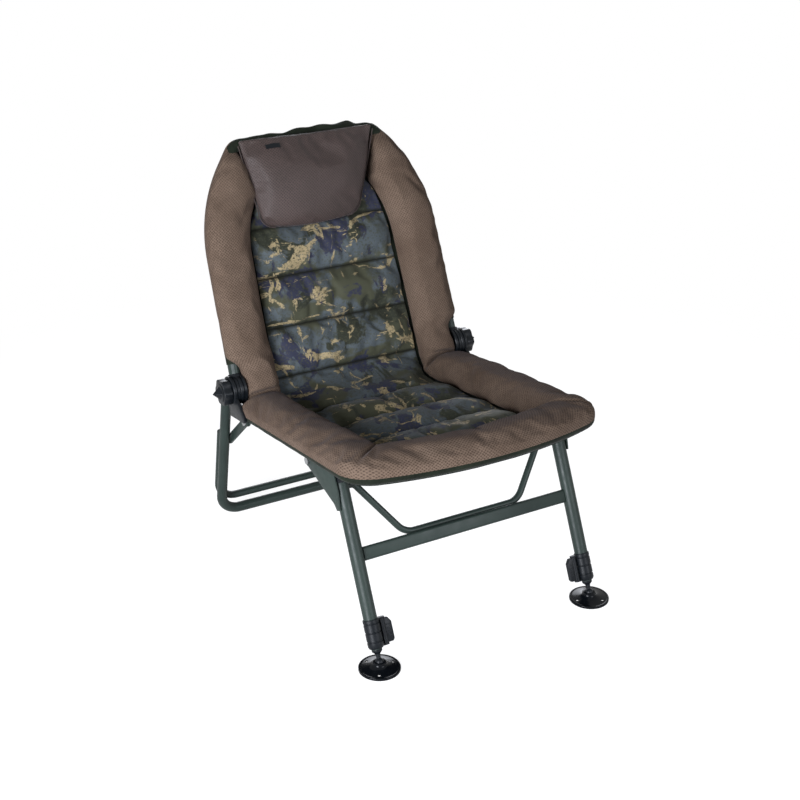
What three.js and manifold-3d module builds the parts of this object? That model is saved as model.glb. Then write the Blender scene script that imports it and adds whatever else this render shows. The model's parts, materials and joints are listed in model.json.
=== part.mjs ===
// A folding carp fishing chair: a padded seat and a reclining back on bent steel tube,
// two front legs with telescopic mud feet and a folding U frame as the back legs.
// Millimetres, +Z up, the front of the chair towards -Y, the sitter's left towards +X.
import * as THREE from "three";
import { mergeVertices } from "three/addons/utils/BufferGeometryUtils.js";
import Module from "manifold-3d";

const wasm = await Module();
wasm.setup();

// Attitude of the frames, in degrees
const seatRise = 8.1;
const backLean = 23.5;
const frontLegLean = 25;
const rearLegLean = 13;

// Clearances
const gap = 0.3;
const weldGap = 0.4;
const slideGap = 0.5;
const overrun = 4;
const mergeDistance = 0.0001;

// Seat and back frames of bent tube, measured along each frame from the hub axis
const frameTubeRadius = 11;
const frameHalfWidth = 246;
const hubHeight = 330;
const railDepth = 42;
const railRearEnd = 8;
const seatLength = 540;
const seatCornerRadius = 58;
const seatBowRadius = 620;
const backLength = 467;
const backTubeStart = 30;
const shoulderHeight = 350;
const shoulderHalfWidth = 238;
const shoulderRadius = 300;
const topHalfWidth = 152;
const topCornerRadius = 30;

// Slings and cushions
const slingThickness = 2.5;
const slingSetback = 15;
const slingEdgeGap = 1.5;
const seatSlingStart = 15;
const backSlingStart = 33;
const bolsterInset = 83;
const bolsterOverlap = 9;
const bolsterHeight = 41;
const bolsterEndHeight = 31;
const bolsterTaper = 50;
const innerCornerRadius = 16;
const seatPadStart = 28;
const backPadStart = 38;
const padHeight = 21;
const padEdgeHeight = 6;
const seamHeight = 5;
const padEndHeight = 5;
const seatHingeSeam = -54;
const seatFirstSeam = 92;
const seatSeamPitch = 112;
const backHingeSeam = 3;
const backFirstSeam = 101;
const backSeamPitch = 99;
const creaseTaper = 60;
const foldWedge = 26;
const padGap = 1.2;
const backPadEnd = 386;
const pillowBottom = 296;
const pillowTop = 480;
const pillowBottomInset = 54;
const pillowHeight = 50;
const pillowEdgeHeight = 12;
const backBolsterEnd = 446;

// Recliner hubs
const hubRadius = 29;
const hubGrooveDepth = 2.5;
const hubInnerInset = 9.7;
const hubDiscThickness = 14;
const hubBoltRadius = 5;
const hubBoltHeadRadius = 9;
const hubBoltHeadLength = 4;
const hubNeckRadius = 12.5;
const knobRadius = 25;
const knobThickness = 17;
const knobConeLength = 17;
const knobConeRadius = 15;
const knobLobes = 6;
const bracketThickness = 6;
const bracketReach = 62;
const bracketHeight = 15.4;
const saddleThickness = 5;

// Pivots that hang below the seat rails
const pivotDrop = 12;
const pivotPinRadius = 4;
const pivotHeadRadius = 7;
const pivotHeadThickness = 2.6;
const lugRadius = 10;
const lugThickness = 3.6;
const frontPivotReach = 293;
const strutPivotReach = 13;

// Front legs
const legTubeRadius = 12.5;
const legTubeWall = 1.5;
const legInset = 20;
const hubToFoot = 534;
const legTopDrop = 12;
const legTubeStart = 36;
const gussetThickness = 3;
const gussetLength = 64;
const gussetPivotRadius = 11;
const catchThickness = 17;
const catchLipDrop = 16;
const catchLength = 40;
const catchLipGap = 1.5;
const catchLipThickness = 6;
const crossbarHeight = 25;
const crossbarThickness = 10;
const crossbarLevel = 190;
const braceTubeRadius = 6.25;
const braceLevel = 204;
const braceBarInset = 106;
const braceTopInset = 28;
const braceTopDrop = 25.7;
const braceBendRadius = 38;
const braceEndRadius = 14;

// Leg collars, cam levers, inner legs and mud feet
const innerLegRadius = 9.5;
const innerLegStart = 23.3;
const innerLegLength = 142;
const innerLegWall = 2;
const collarStart = 25;
const collarEnd = 77;
const collarRadius = 14.5;
const collarRingDepth = 1;
const collarRingHeight = 3;
const leverHeight = 44;
const leverReach = 22;
const leverThickness = 8;
const leverBarrelRadius = 5.5;
const leverPinRadius = 2.2;
const earThickness = 3;
const ballRadius = 8;
const ballHeight = 14;
const ballNeckRadius = 4;
const ballNeckLength = 18;
const footRadius = 37.5;
const footRimHeight = 4;
const footRimWidth = 6;
const footDish = 3;
const footSocketRadius = 11.5;
const socketLipRise = 18;
const footHoleRadius = 3;
const footHoleCircle = 27;
const footHoles = 3;

// Rear legs
const rearTubeRadius = 10.5;
const rearOutset = 10;
const rearTopBehindHub = 39;
const rearTopBelowHub = 20;
const rearBendRadius = 42;
const innerFrameTubeRadius = 8;
const innerFrameRaise = 20;
const strutWidth = 18;
const strutThickness = 5;
const strutFootDrop = 112;
const strutFootOverlap = 12;

// Facets
const tubeSides = 12;
const boreSides = 16;
const discSides = 24;
const hexSides = 6;
const knobSteps = 48;
const bendSteps = 5;

// Finishes
const powderCoat = new THREE.MeshStandardMaterial({ color: "#3b423c", roughness: 0.42, metalness: 0.35 });
const blackPlastic = new THREE.MeshStandardMaterial({ color: "#17191b", roughness: 0.5 });
const glossPlastic = new THREE.MeshStandardMaterial({ color: "#141617", roughness: 0.18 });
const zincSteel = new THREE.MeshStandardMaterial({ color: "#9a9c9c", roughness: 0.35, metalness: 1 });
const slingCloth = new THREE.MeshStandardMaterial({ color: "#20251f", roughness: 0.9 });
const meshCloth = new THREE.MeshStandardMaterial({ color: "#5d4e45", roughness: 0.95 });
const padCloth = new THREE.MeshStandardMaterial({ color: "#454b3c", roughness: 0.9 });

// Places across the chair, which follow the frame's width
const hubInnerStart = frameHalfWidth - hubInnerInset;
const legHalfWidth = frameHalfWidth - legInset;
const rearHalfWidth = frameHalfWidth + rearOutset;
const braceBarHalfWidth = legHalfWidth - braceBarInset;
const braceTopHalfWidth = legHalfWidth - braceTopInset;
const pillowTopHalfWidth = topHalfWidth;
const pillowBottomHalfWidth = topHalfWidth - pillowBottomInset;

const seatAngle = THREE.MathUtils.degToRad(seatRise);
const backAngle = THREE.MathUtils.degToRad(backLean);
const legAngle = THREE.MathUtils.degToRad(frontLegLean);
const rearAngle = THREE.MathUtils.degToRad(rearLegLean);
const foldAngle = THREE.MathUtils.degToRad(foldWedge);
const socketLip = THREE.MathUtils.degToRad(socketLipRise);
const vector = (x, y, z) => new THREE.Vector3(x, y, z);
const flat = (x, y) => new THREE.Vector2(x, y);

// A route of straight runs and bends, with stations only where the direction changes.
class Route extends THREE.Curve {
  constructor(points) {
    super();
    this.points = points;
  }
  getPoint(t) {
    const place = t * (this.points.length - 1);
    const before = Math.min(Math.floor(place), this.points.length - 2);
    return vector().lerpVectors(this.points[before], this.points[before + 1], place - before);
  }
  getPointAt(u) {
    return this.getPoint(u);
  }
  getSpacedPoints() {
    return this.points.map((point) => point.clone());
  }
  getTangentAt(u) {
    const last = this.points.length - 1;
    const here = Math.round(u * last);
    const arriving = vector().subVectors(this.points[here], this.points[Math.max(here - 1, 0)]);
    const leaving = vector().subVectors(this.points[Math.min(here + 1, last)], this.points[here]);
    return arriving.normalize().add(leaving.normalize()).normalize();
  }
}

// The points of a polyline whose inner corners are bent to the radii given.
function bentPoints(corners, radii, steps = bendSteps) {
  const points = [corners[0]];
  for (let i = 1; i < corners.length - 1; i += 1) {
    const back = vector().subVectors(corners[i - 1], corners[i]).normalize();
    const on = vector().subVectors(corners[i + 1], corners[i]).normalize();
    const half = back.angleTo(on) / 2;
    const radius = radii[i - 1];
    const centre = back.clone().add(on).normalize();
    centre.multiplyScalar(radius / Math.sin(half)).add(corners[i]);
    const start = back.clone().multiplyScalar(radius / Math.tan(half)).add(corners[i]).sub(centre);
    const end = on.clone().multiplyScalar(radius / Math.tan(half)).add(corners[i]).sub(centre);
    const axis = start.clone().cross(end).normalize();
    for (let k = 0; k <= steps; k += 1) {
      const turn = (start.angleTo(end) * k) / steps;
      points.push(start.clone().applyAxisAngle(axis, turn).add(centre));
    }
  }
  return [...points, corners[corners.length - 1]];
}

// A round section whose flats face along its own axes.
function roundShape(radius, sides) {
  const points = [];
  for (let i = 0; i < sides; i += 1) {
    const turn = ((i + 0.5) / sides) * 2 * Math.PI;
    points.push(flat(radius * Math.cos(turn), radius * Math.sin(turn)));
  }
  return new THREE.Shape(points);
}

function bentTube(points, radius, sides = tubeSides) {
  return new THREE.ExtrudeGeometry(roundShape(radius, sides), {
    steps: points.length - 1,
    extrudePath: new Route(points),
    bevelEnabled: false,
  });
}

// A profile in (y, z) given thickness along X.
function plateAcross(points, fromX, toX) {
  const plate = new THREE.ExtrudeGeometry(new THREE.Shape(points), {
    depth: toX - fromX,
    bevelEnabled: false,
  });
  const cyclic = new THREE.Matrix4().makeBasis(vector(0, 1, 0), vector(0, 0, 1), vector(1, 0, 0));
  return plate.applyMatrix4(cyclic).translate(fromX, 0, 0);
}

// A round bar along X at a place in (y, z).
function barAcross(radius, fromX, toX, y, z, sides = boreSides) {
  const bar = new THREE.CylinderGeometry(radius, radius, toX - fromX, sides);
  return bar.rotateZ(Math.PI / 2).translate((fromX + toX) / 2, y, z);
}

// A revolved piece whose axis is Z.
function revolved(profile, sides) {
  return facingOut(new THREE.LatheGeometry(profile, sides).rotateX(Math.PI / 2));
}

function arcPoints(centreY, centreZ, radius, fromTurn, toTurn, steps) {
  const points = [];
  for (let k = 0; k <= steps; k += 1) {
    const turn = fromTurn + ((toTurn - fromTurn) * k) / steps;
    points.push(flat(centreY + radius * Math.cos(turn), centreZ + radius * Math.sin(turn)));
  }
  return points;
}

function solidOf(geometry) {
  const bare = geometry.clone();
  bare.deleteAttribute("normal");
  bare.deleteAttribute("uv");
  const merged = mergeVertices(bare, mergeDistance);
  return new wasm.Manifold(
    new wasm.Mesh({
      numProp: 3,
      vertProperties: new Float32Array(merged.attributes.position.array),
      triVerts: new Uint32Array(merged.index.array),
    }),
  );
}

function geometryOf(solid) {
  const mesh = solid.getMesh();
  const geometry = new THREE.BufferGeometry();
  geometry.setAttribute("position", new THREE.BufferAttribute(mesh.vertProperties, 3));
  geometry.setIndex(new THREE.BufferAttribute(mesh.triVerts, 1));
  geometry.computeVertexNormals();
  return geometry;
}

function cut(body, ...tools) {
  return geometryOf(tools.reduce((left, tool) => left.subtract(solidOf(tool)), solidOf(body)));
}

function joined(...pieces) {
  return geometryOf(pieces.map(solidOf).reduce((whole, piece) => whole.add(piece)));
}

// The faces that close a flat ring of points, which may have a step in it.
function capFaces(ring) {
  const normal = vector();
  ring.forEach((point, j) => normal.add(point.clone().cross(ring[(j + 1) % ring.length])));
  normal.normalize();
  const along = vector().subVectors(ring[1], ring[0]).normalize();
  const across = normal.clone().cross(along);
  const outline = ring.map((point) => flat(point.dot(along), point.dot(across)));
  return THREE.ShapeUtils.triangulateShape(outline, []);
}

// A closed skin over rings of equal point count.
function skin(rings) {
  const count = rings[0].length;
  const faces = [];
  for (let i = 0; i < rings.length - 1; i += 1) {
    for (let j = 0; j < count; j += 1) {
      const a = i * count + j;
      const b = i * count + ((j + 1) % count);
      faces.push(a, b, a + count, b, b + count, a + count);
    }
  }
  const last = (rings.length - 1) * count;
  capFaces(rings[0]).forEach(([a, b, c]) => faces.push(c, b, a));
  capFaces(rings[rings.length - 1]).forEach(([a, b, c]) => faces.push(last + a, last + b, last + c));
  const geometry = new THREE.BufferGeometry().setFromPoints(rings.flat());
  geometry.setIndex(faces);
  return facingOut(geometry);
}

function turnedOver(geometry) {
  const order = geometry.index.array;
  for (let i = 0; i < order.length; i += 3) {
    [order[i + 1], order[i + 2]] = [order[i + 2], order[i + 1]];
  }
  geometry.computeVertexNormals();
  return geometry;
}

function facingOut(geometry) {
  const place = geometry.attributes.position;
  const order = geometry.index.array;
  let volume = 0;
  for (let i = 0; i < order.length; i += 3) {
    const [a, b, c] = [0, 1, 2].map((k) => vector().fromBufferAttribute(place, order[i + k]));
    volume += a.dot(b.cross(c));
  }
  geometry.computeVertexNormals();
  return volume < 0 ? turnedOver(geometry) : geometry;
}

function mirrored(geometry) {
  const copy = geometry.index ? geometry.clone() : mergeVertices(geometry.clone());
  return turnedOver(copy.scale(-1, 1, 1));
}

function add(group, name, geometry, material) {
  const mesh = new THREE.Mesh(geometry, material);
  mesh.name = name;
  group.add(mesh);
}

// The sitter's left is built, and the right is its mirror image.
function addPair(group, name, geometry, material) {
  add(group, `${name}_left`, geometry, material);
  add(group, `${name}_right`, mirrored(geometry), material);
}

const chair = new THREE.Group();
const seat = new THREE.Group();
seat.position.set(0, 0, hubHeight);
seat.rotation.x = -seatAngle;
const back = new THREE.Group();
back.position.set(0, 0, hubHeight);
back.rotation.x = -backAngle;
chair.add(seat, back);

// Seat frame: its plan is drawn with the front along +Y, then turned to face -Y.
// The front member bows forwards, and its arc runs tangent into each round corner.
function seatOutline(inset, cornerRadius, start) {
  const half = frameHalfWidth - inset;
  const bow = seatBowRadius - inset;
  const bowCentre = seatLength - seatBowRadius;
  const corner = half - cornerRadius;
  const cornerCentre = bowCentre + Math.sqrt((bow - cornerRadius) ** 2 - corner ** 2);
  const meet = Math.atan2(cornerCentre - bowCentre, corner);
  const side = [flat(half, start), flat(half, (start * 2 + cornerCentre) / 3)];
  side.push(flat(half, (start + cornerCentre * 2) / 3));
  const round = arcPoints(corner, cornerCentre, cornerRadius, 0, meet, bendSteps);
  const front = arcPoints(0, bowCentre, bow, meet, Math.PI / 2, bendSteps);
  const right = [...side, ...round, ...front.slice(1)];
  const left = right.slice(0, -1).map((point) => flat(-point.x, point.y));
  return [...right, ...left.reverse()];
}

const seatRoute = seatOutline(0, seatCornerRadius, -railRearEnd);
add(
  seat,
  "seat_frame",
  bentTube(seatRoute.map((point) => vector(point.x, -point.y, -railDepth)), frameTubeRadius),
  powderCoat,
);

// Seat sling: one panel of cloth that hangs between the rails, a little below their middle.
const slingInset = frameTubeRadius + slingEdgeGap;
const padSetback = slingSetback - slingThickness - gap;
const seatSlingBase = -railDepth - slingSetback;
const seatPadBase = -railDepth - padSetback;
const seatSlingShape = seatOutline(slingInset, seatCornerRadius - slingInset, seatSlingStart);
add(
  seat,
  "seat_sling",
  new THREE.ExtrudeGeometry(new THREE.Shape(seatSlingShape.map((point) => flat(point.x, -point.y))), {
    depth: slingThickness,
    bevelEnabled: false,
  }).translate(0, 0, seatSlingBase),
  slingCloth,
);

// A bolster's section, from its inner edge over the crown to its outer edge. It rises from
// the pad's level inside, comes down on the rail outside, and is stepped to lie over the rail.
const bolsterSection = [];
const sectionSteps = 9;
const roundnessShare = 0.75;
const fullnessShare = 0.7;
const drawnInShare = 0.08;
for (let k = 0; k <= sectionSteps; k += 1) {
  const turn = (Math.PI * k) / sectionSteps;
  const rise = Math.abs(Math.sin(turn)) ** fullnessShare;
  const across = -Math.sign(Math.cos(turn)) * Math.abs(Math.cos(turn)) ** roundnessShare;
  const drawn = 1 - drawnInShare * (1 - Math.min(rise, 1));
  bolsterSection.push({ across: (1 + across * drawn) / 2, rise: k % sectionSteps ? rise : 0 });
}

const eased = (share) => THREE.MathUtils.smoothstep(share, 0, 1);
const railTop = padSetback + frameTubeRadius + gap;

// A ring of a bolster: its places in plan inside, at the step and outside, its height
// above the pad's base, and what turns a place and a height into a point.
function bolsterRing(inner, step, outer, height, placeAt) {
  const ring = bolsterSection.map(({ across, rise }) => {
    const foot = across > 1 / 2 ? railTop : 0;
    return placeAt(inner.clone().lerp(outer, across), foot + (height - foot) * rise);
  });
  return [...ring, placeAt(step, railTop), placeAt(step, 0)];
}

// Seat bolster: a stuffed border along both sides and the front.
const bolsterOuter = seatOutline(-bolsterOverlap, seatCornerRadius + bolsterOverlap, seatPadStart);
const bolsterStep = seatOutline(slingInset, seatCornerRadius - slingInset, seatPadStart);
const bolsterInner = seatOutline(bolsterInset, innerCornerRadius, seatPadStart);
const seatBolsterRings = bolsterOuter.map((outer, i) => {
  const grown = eased((outer.y - seatPadStart) / bolsterTaper);
  const height = bolsterEndHeight + (bolsterHeight - bolsterEndHeight) * grown;
  return bolsterRing(bolsterInner[i], bolsterStep[i], outer, height, (place, rise) =>
    vector(place.x, -place.y, seatPadBase + rise),
  );
});
add(seat, "seat_bolster", skin(seatBolsterRings), meshCloth);

// The seams across a centre pad: one in the fold over the hinge, then a wide channel that
// the sitter's hips lie in or against, and then channels at an even pitch.
function seamPlaces(hinge, first, pitch, end) {
  const places = [hinge, first];
  while (places[places.length - 1] < end) places.push(places[places.length - 1] + pitch);
  return places;
}

// The pad's height between its seams.
const channelShares = [0, 0.1, 0.28, 0.5, 0.72, 0.9];
const padAcross = 8;
const puffShare = 0.45;
function padHeightAt(along, seams, start, share) {
  const next = Math.max(1, seams.findIndex((seam) => seam >= along));
  const part = (along - seams[next - 1]) / (seams[next] - seams[next - 1]);
  const puff = Math.abs(Math.sin(Math.PI * part)) ** puffShare;
  const grown = padEndHeight + (padHeight - padEndHeight) * eased((along - start) / creaseTaper);
  const crown = Math.min(padHeight, grown);
  const edge = Math.min(padEdgeHeight, crown);
  const full = Math.min(seamHeight, crown) + (crown - Math.min(seamHeight, crown)) * puff;
  return edge * share ** 4 + full * (1 - share ** 4);
}

function padStations(start, end, seams) {
  const stations = [start];
  seams.slice(1).forEach((seam, i) => {
    channelShares.forEach((share) => stations.push(seams[i] + share * (seam - seams[i])));
  });
  const least = (channelShares[1] * (seams[seams.length - 1] - seams[seams.length - 2])) / 2;
  const inside = stations.filter((place) => place === start || place > start + least);
  return [...inside.filter((place) => place < end - least), end];
}

function padRing(halfWidth, heightAt, placeAt) {
  const ring = [placeAt(halfWidth, 0), placeAt(-halfWidth, 0)];
  for (let j = 0; j <= padAcross; j += 1) {
    const share = (2 * j) / padAcross - 1;
    ring.push(placeAt(share * halfWidth, heightAt(Math.abs(share))));
  }
  return ring;
}

// Seat pad: its front edge follows the bow of the front bolster.
const innerBow = seatBowRadius - bolsterInset;
const seatPadEnd = seatLength - bolsterInset - padGap;
const seatPadHalf = frameHalfWidth - bolsterInset - padGap;
const seatSeams = seamPlaces(seatHingeSeam, seatFirstSeam, seatSeamPitch, seatPadEnd);
const seatPadRings = padStations(seatPadStart, seatPadEnd, seatSeams).map((along) => {
  const share = (along - seatPadStart) / (seatPadEnd - seatPadStart);
  return padRing(
    seatPadHalf - innerCornerRadius * share ** 6,
    (edge) => padHeightAt(along, seatSeams, seatPadStart, edge),
    (x, height) => {
      const dip = innerBow - Math.sqrt(innerBow ** 2 - x ** 2);
      return vector(x, -(along - dip * share ** 2), seatPadBase + height);
    },
  );
});
add(seat, "seat_pad", skin(seatPadRings), padCloth);

// Back frame: sides that taper a little up to the shoulder and lean in to a narrow top.
const backCorners = [
  vector(frameHalfWidth, 0, backTubeStart),
  vector(shoulderHalfWidth, 0, shoulderHeight),
  vector(topHalfWidth, 0, backLength),
  vector(-topHalfWidth, 0, backLength),
  vector(-shoulderHalfWidth, 0, shoulderHeight),
  vector(-frameHalfWidth, 0, backTubeStart),
];
const backRadii = [shoulderRadius, topCornerRadius, topCornerRadius, shoulderRadius];
add(back, "back_frame", bentTube(bentPoints(backCorners, backRadii), frameTubeRadius), powderCoat);

// The half width of the back at a height, drawn in by an inset: a slight taper up to the
// shoulder, the bend there, and the slope to the narrow top.
const taperTurn = Math.atan2(frameHalfWidth - shoulderHalfWidth, shoulderHeight - backTubeStart);
const shoulderTurn = Math.atan2(shoulderHalfWidth - topHalfWidth, backLength - shoulderHeight);
const taperLine = (height, inset) =>
  frameHalfWidth - (height - backTubeStart) * Math.tan(taperTurn) - inset / Math.cos(taperTurn);
const slopeLine = (height, inset) =>
  topHalfWidth + (backLength - height) * Math.tan(shoulderTurn) - inset / Math.cos(shoulderTurn);
const shoulderCorner = (inset) =>
  (slopeLine(0, inset) - taperLine(0, inset)) / (Math.tan(shoulderTurn) - Math.tan(taperTurn));
const shoulderLevel = shoulderCorner(shoulderRadius);
const shoulderCentre = taperLine(shoulderLevel, shoulderRadius);
function backHalfWidth(height, inset) {
  const radius = shoulderRadius - inset;
  const rise = height - shoulderLevel;
  if (rise <= radius * Math.sin(taperTurn)) return taperLine(height, inset);
  if (rise >= radius * Math.sin(shoulderTurn)) return slopeLine(height, inset);
  return shoulderCentre + Math.sqrt(radius ** 2 - rise ** 2);
}

// Back sling: one panel between the sides and under the top of the back frame.
const slingTop = backLength - slingInset;
const slingShoulder = shoulderCorner(slingInset);
const slingCorners = [
  vector(taperLine(backSlingStart, slingInset), backSlingStart, 0),
  vector(taperLine(slingShoulder, slingInset), slingShoulder, 0),
  vector(slopeLine(slingTop, slingInset), slingTop, 0),
];
const slingSide = bentPoints(
  [...slingCorners, vector(-topHalfWidth, slingTop, 0)],
  [shoulderRadius - slingInset, topCornerRadius - slingInset],
).slice(0, -1);
const slingOther = slingSide.map((point) => vector(-point.x, point.y, 0)).reverse();
add(
  back,
  "back_sling",
  new THREE.ExtrudeGeometry(
    new THREE.Shape([...slingSide, ...slingOther].map((point) => flat(point.x, point.y))),
    { depth: slingThickness, bevelEnabled: false },
  )
    .rotateX(Math.PI / 2)
    .translate(0, slingSetback, 0),
  slingCloth,
);

// Back bolsters: a stuffed border up each side, which ends under the head pillow's edge.
const pillowSide = (height) => {
  const share = (height - pillowBottom) / (pillowTop - pillowBottom);
  return pillowBottomHalfWidth + (pillowTopHalfWidth - pillowBottomHalfWidth) * share;
};
const backBolsterRows = 16;
const backBolsterRings = [];
for (let k = 0; k <= backBolsterRows; k += 1) {
  const height = backPadStart + ((backBolsterEnd - backPadStart) * k) / backBolsterRows;
  const outer = backHalfWidth(height, -bolsterOverlap);
  const under = height > pillowBottom ? pillowSide(height) + padGap : 0;
  const inner = Math.max(backHalfWidth(height, bolsterInset), under);
  const wedge = height * Math.tan(foldAngle) + padSetback - gap;
  const narrowed = Math.min(1, (outer - inner) / ((bolsterInset + bolsterOverlap) / 2));
  const full = railTop + (Math.min(wedge, bolsterHeight) - railTop) * narrowed;
  backBolsterRings.push(
    bolsterRing(
      flat(inner, height),
      flat(backHalfWidth(height, slingInset), height),
      flat(outer, height),
      full,
      (place, rise) => vector(place.x, padSetback - rise, place.y),
    ),
  );
}
addPair(back, "back_bolster", skin(backBolsterRings), meshCloth);

// Back pad: quilted like the seat pad, and narrower where the shoulders draw in.
const backSeams = seamPlaces(backHingeSeam, backFirstSeam, backSeamPitch, backPadEnd);
const backPadRings = padStations(backPadStart, backPadEnd, backSeams).map((along) =>
  padRing(
    backHalfWidth(along, bolsterInset) - padGap,
    (edge) => padHeightAt(along, backSeams, backPadStart, edge),
    (x, height) => vector(x, padSetback - height, along),
  ),
);
add(back, "back_pad", skin(backPadRings), padCloth);

// Head pillow: a stuffed trapezoid in front of the top of the back, over the pad's end.
const pillowShares = [0, 0.05, 0.15, 0.32, 0.49, 0.5, 0.56, 0.72, 0.88, 0.97, 1];
const pillowAcross = 8;
const padFront = padHeight + gap - padSetback;
const railFront = frameTubeRadius + gap;
const pillowRings = pillowShares.map((share) => {
  const height = pillowBottom + (pillowTop - pillowBottom) * share;
  const base = height < backPadEnd + padGap ? Math.max(padFront, railFront) : railFront;
  const front = pillowEdgeHeight + pillowHeight * Math.sin(Math.PI * share) ** 0.5;
  const edge = base + pillowEdgeHeight / 2;
  const deep = Math.max(front, base + pillowEdgeHeight);
  const half = pillowSide(height);
  const ring = [vector(half, -base, height), vector(-half, -base, height)];
  for (let j = 0; j <= pillowAcross; j += 1) {
    const side = (2 * j) / pillowAcross - 1;
    ring.push(vector(side * half, -edge - (deep - edge) * (1 - side ** 4), height));
  }
  return ring;
});
add(back, "head_pillow", skin(pillowRings), meshCloth);

// Hub drum: two discs face to face, each with a groove round its rim.
function hubDisc(fromX) {
  const bore = hubBoltRadius + gap;
  const chamfer = hubGrooveDepth / 2;
  const middle = hubDiscThickness / 2;
  const profile = [
    flat(bore, 0),
    flat(hubRadius - chamfer, 0),
    flat(hubRadius, chamfer),
    flat(hubRadius, middle - chamfer),
    flat(hubRadius - hubGrooveDepth, middle),
    flat(hubRadius, middle + chamfer),
    flat(hubRadius, hubDiscThickness - chamfer),
    flat(hubRadius - chamfer, hubDiscThickness),
    flat(bore, hubDiscThickness),
    flat(bore, 0),
  ];
  const disc = new THREE.LatheGeometry(profile, discSides).rotateZ(-Math.PI / 2);
  return facingOut(disc.translate(fromX, 0, 0));
}

// Back half of the hub, with the neck that the back tube plugs on to.
const neckFoot = hubBoltRadius + overrun;
const neckLength = backTubeStart - gap - neckFoot;
const neck = new THREE.CylinderGeometry(hubNeckRadius, hubNeckRadius, neckLength, tubeSides)
  .rotateX(Math.PI / 2)
  .translate(frameHalfWidth, 0, neckFoot + neckLength / 2);
const hubOuterStart = hubInnerStart + hubDiscThickness + weldGap;
const neckTrim = plateAcross(
  [
    flat(-hubRadius * 2, 0),
    flat(hubRadius * 2, 0),
    flat(hubRadius * 2, hubRadius),
    flat(-hubRadius * 2, hubRadius),
  ],
  hubOuterStart - weldGap,
  hubOuterStart + hubRadius,
);
addPair(back, "back_hub", joined(hubDisc(hubInnerStart), cut(neck, neckTrim)), blackPlastic);

// Seat half of the hub: its arm is welded to the outside of the rail, and its saddle
// stands over the rear leg's upper end, which bears on it.
const hubOuterEnd = hubOuterStart + hubDiscThickness;
const armStart = frameHalfWidth + frameTubeRadius + weldGap;
const railUnder = -railDepth - frameTubeRadius;
const armRootShares = [0.5, 0.8, 0.9, 0.3];
const [armBack, armLow, armFront, armHigh] = armRootShares.map((share) => share * hubRadius);
const armShape = [
  flat(armBack, -armLow),
  flat(railRearEnd, railUnder),
  flat(-bracketReach, railUnder),
  flat(-bracketReach, railUnder + bracketHeight),
  flat(-armFront, -armHigh),
];
const legUp = vector(0, 0, 1).applyAxisAngle(vector(1, 0, 0), seatAngle + rearAngle);
const legTop = vector(0, rearTopBehindHub, -rearTopBelowHub);
const legAcross = vector(0, legUp.z, -legUp.y);
const saddleAt = (acrossLength, upLength) => {
  const place = legTop.clone().addScaledVector(legAcross, acrossLength).addScaledVector(legUp, upLength);
  return flat(place.y, place.z);
};
const saddleShape = [
  saddleAt(-rearTubeRadius * 2, gap),
  saddleAt(rearTubeRadius, gap),
  saddleAt(rearTubeRadius, gap + saddleThickness),
  saddleAt(-rearTubeRadius * 2, gap + saddleThickness),
];
const hubArm = plateAcross(armShape, armStart, armStart + bracketThickness);
const saddle = plateAcross(saddleShape, hubOuterStart, hubOuterEnd);
const boreStart = hubOuterStart - overrun;
const hubBore = barAcross(hubBoltRadius + gap, boreStart, hubOuterEnd + overrun, 0, 0, discSides);
addPair(seat, "seat_hub", cut(joined(hubDisc(hubOuterStart), hubArm, saddle), hubBore), blackPlastic);

// Hub bolt: its head bears on the inner disc and its end carries the clamp knob.
const boltStart = hubInnerStart - hubBoltHeadLength - weldGap;
const boltEnd = hubOuterEnd + weldGap;
const hubBolt = joined(
  barAcross(hubBoltHeadRadius, boltStart, hubInnerStart - weldGap, 0, 0, hexSides),
  barAcross(hubBoltRadius, boltStart + overrun / 2, boltEnd, 0, 0, discSides),
);
addPair(seat, "hub_bolt", hubBolt, zincSteel);

// Clamp knob: a lobed wheel with a four-sided point.
const knobPoints = [];
const knobLobeShare = 0.07;
for (let k = 0; k < knobSteps; k += 1) {
  const turn = (2 * Math.PI * k) / knobSteps;
  const radius = knobRadius * (1 + knobLobeShare * Math.cos(knobLobes * turn));
  knobPoints.push(flat(radius * Math.cos(turn), radius * Math.sin(turn)));
}
const knobStart = boltEnd + weldGap;
const knobEnd = knobStart + knobThickness;
const knobPoint = new THREE.CylinderGeometry(0, knobConeRadius, knobConeLength + overrun, 4)
  .rotateZ(-Math.PI / 2)
  .translate(knobEnd + (knobConeLength - overrun) / 2, 0, 0);
addPair(seat, "clamp_knob", joined(plateAcross(knobPoints, knobStart, knobEnd), knobPoint), blackPlastic);

// Rail lugs and pivot pins under the seat rails
const pivotLevel = railUnder - pivotDrop;
const gussetStart = legHalfWidth + legTubeRadius + weldGap;
const gussetEnd = gussetStart + gussetThickness;
const strutEnd = rearHalfWidth - rearTubeRadius - weldGap;
const strutStart = strutEnd - strutThickness;

function railLug(reach, toX) {
  const rail = frameTubeRadius + weldGap;
  const top = -railDepth - Math.sqrt(rail ** 2 - (frameHalfWidth - toX) ** 2);
  const round = arcPoints(-reach, pivotLevel, lugRadius, Math.PI, 2 * Math.PI, bendSteps * 2);
  const shape = [...round, flat(lugRadius - reach, top), flat(-lugRadius - reach, top)];
  const fromX = toX - lugThickness;
  const bore = barAcross(pivotPinRadius + gap, fromX - overrun, toX + overrun, -reach, pivotLevel);
  return cut(plateAcross(shape, fromX, toX), bore);
}

// A pin with a head at each end, round a lug and the plate that turns on it.
function pivotPin(reach, fromX, toX) {
  const inner = fromX - gap;
  const outer = toX + gap;
  return joined(
    barAcross(pivotPinRadius, inner - gap, outer + gap, -reach, pivotLevel),
    barAcross(pivotHeadRadius, inner - pivotHeadThickness, inner, -reach, pivotLevel),
    barAcross(pivotHeadRadius, outer, outer + pivotHeadThickness, -reach, pivotLevel),
  );
}

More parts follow.
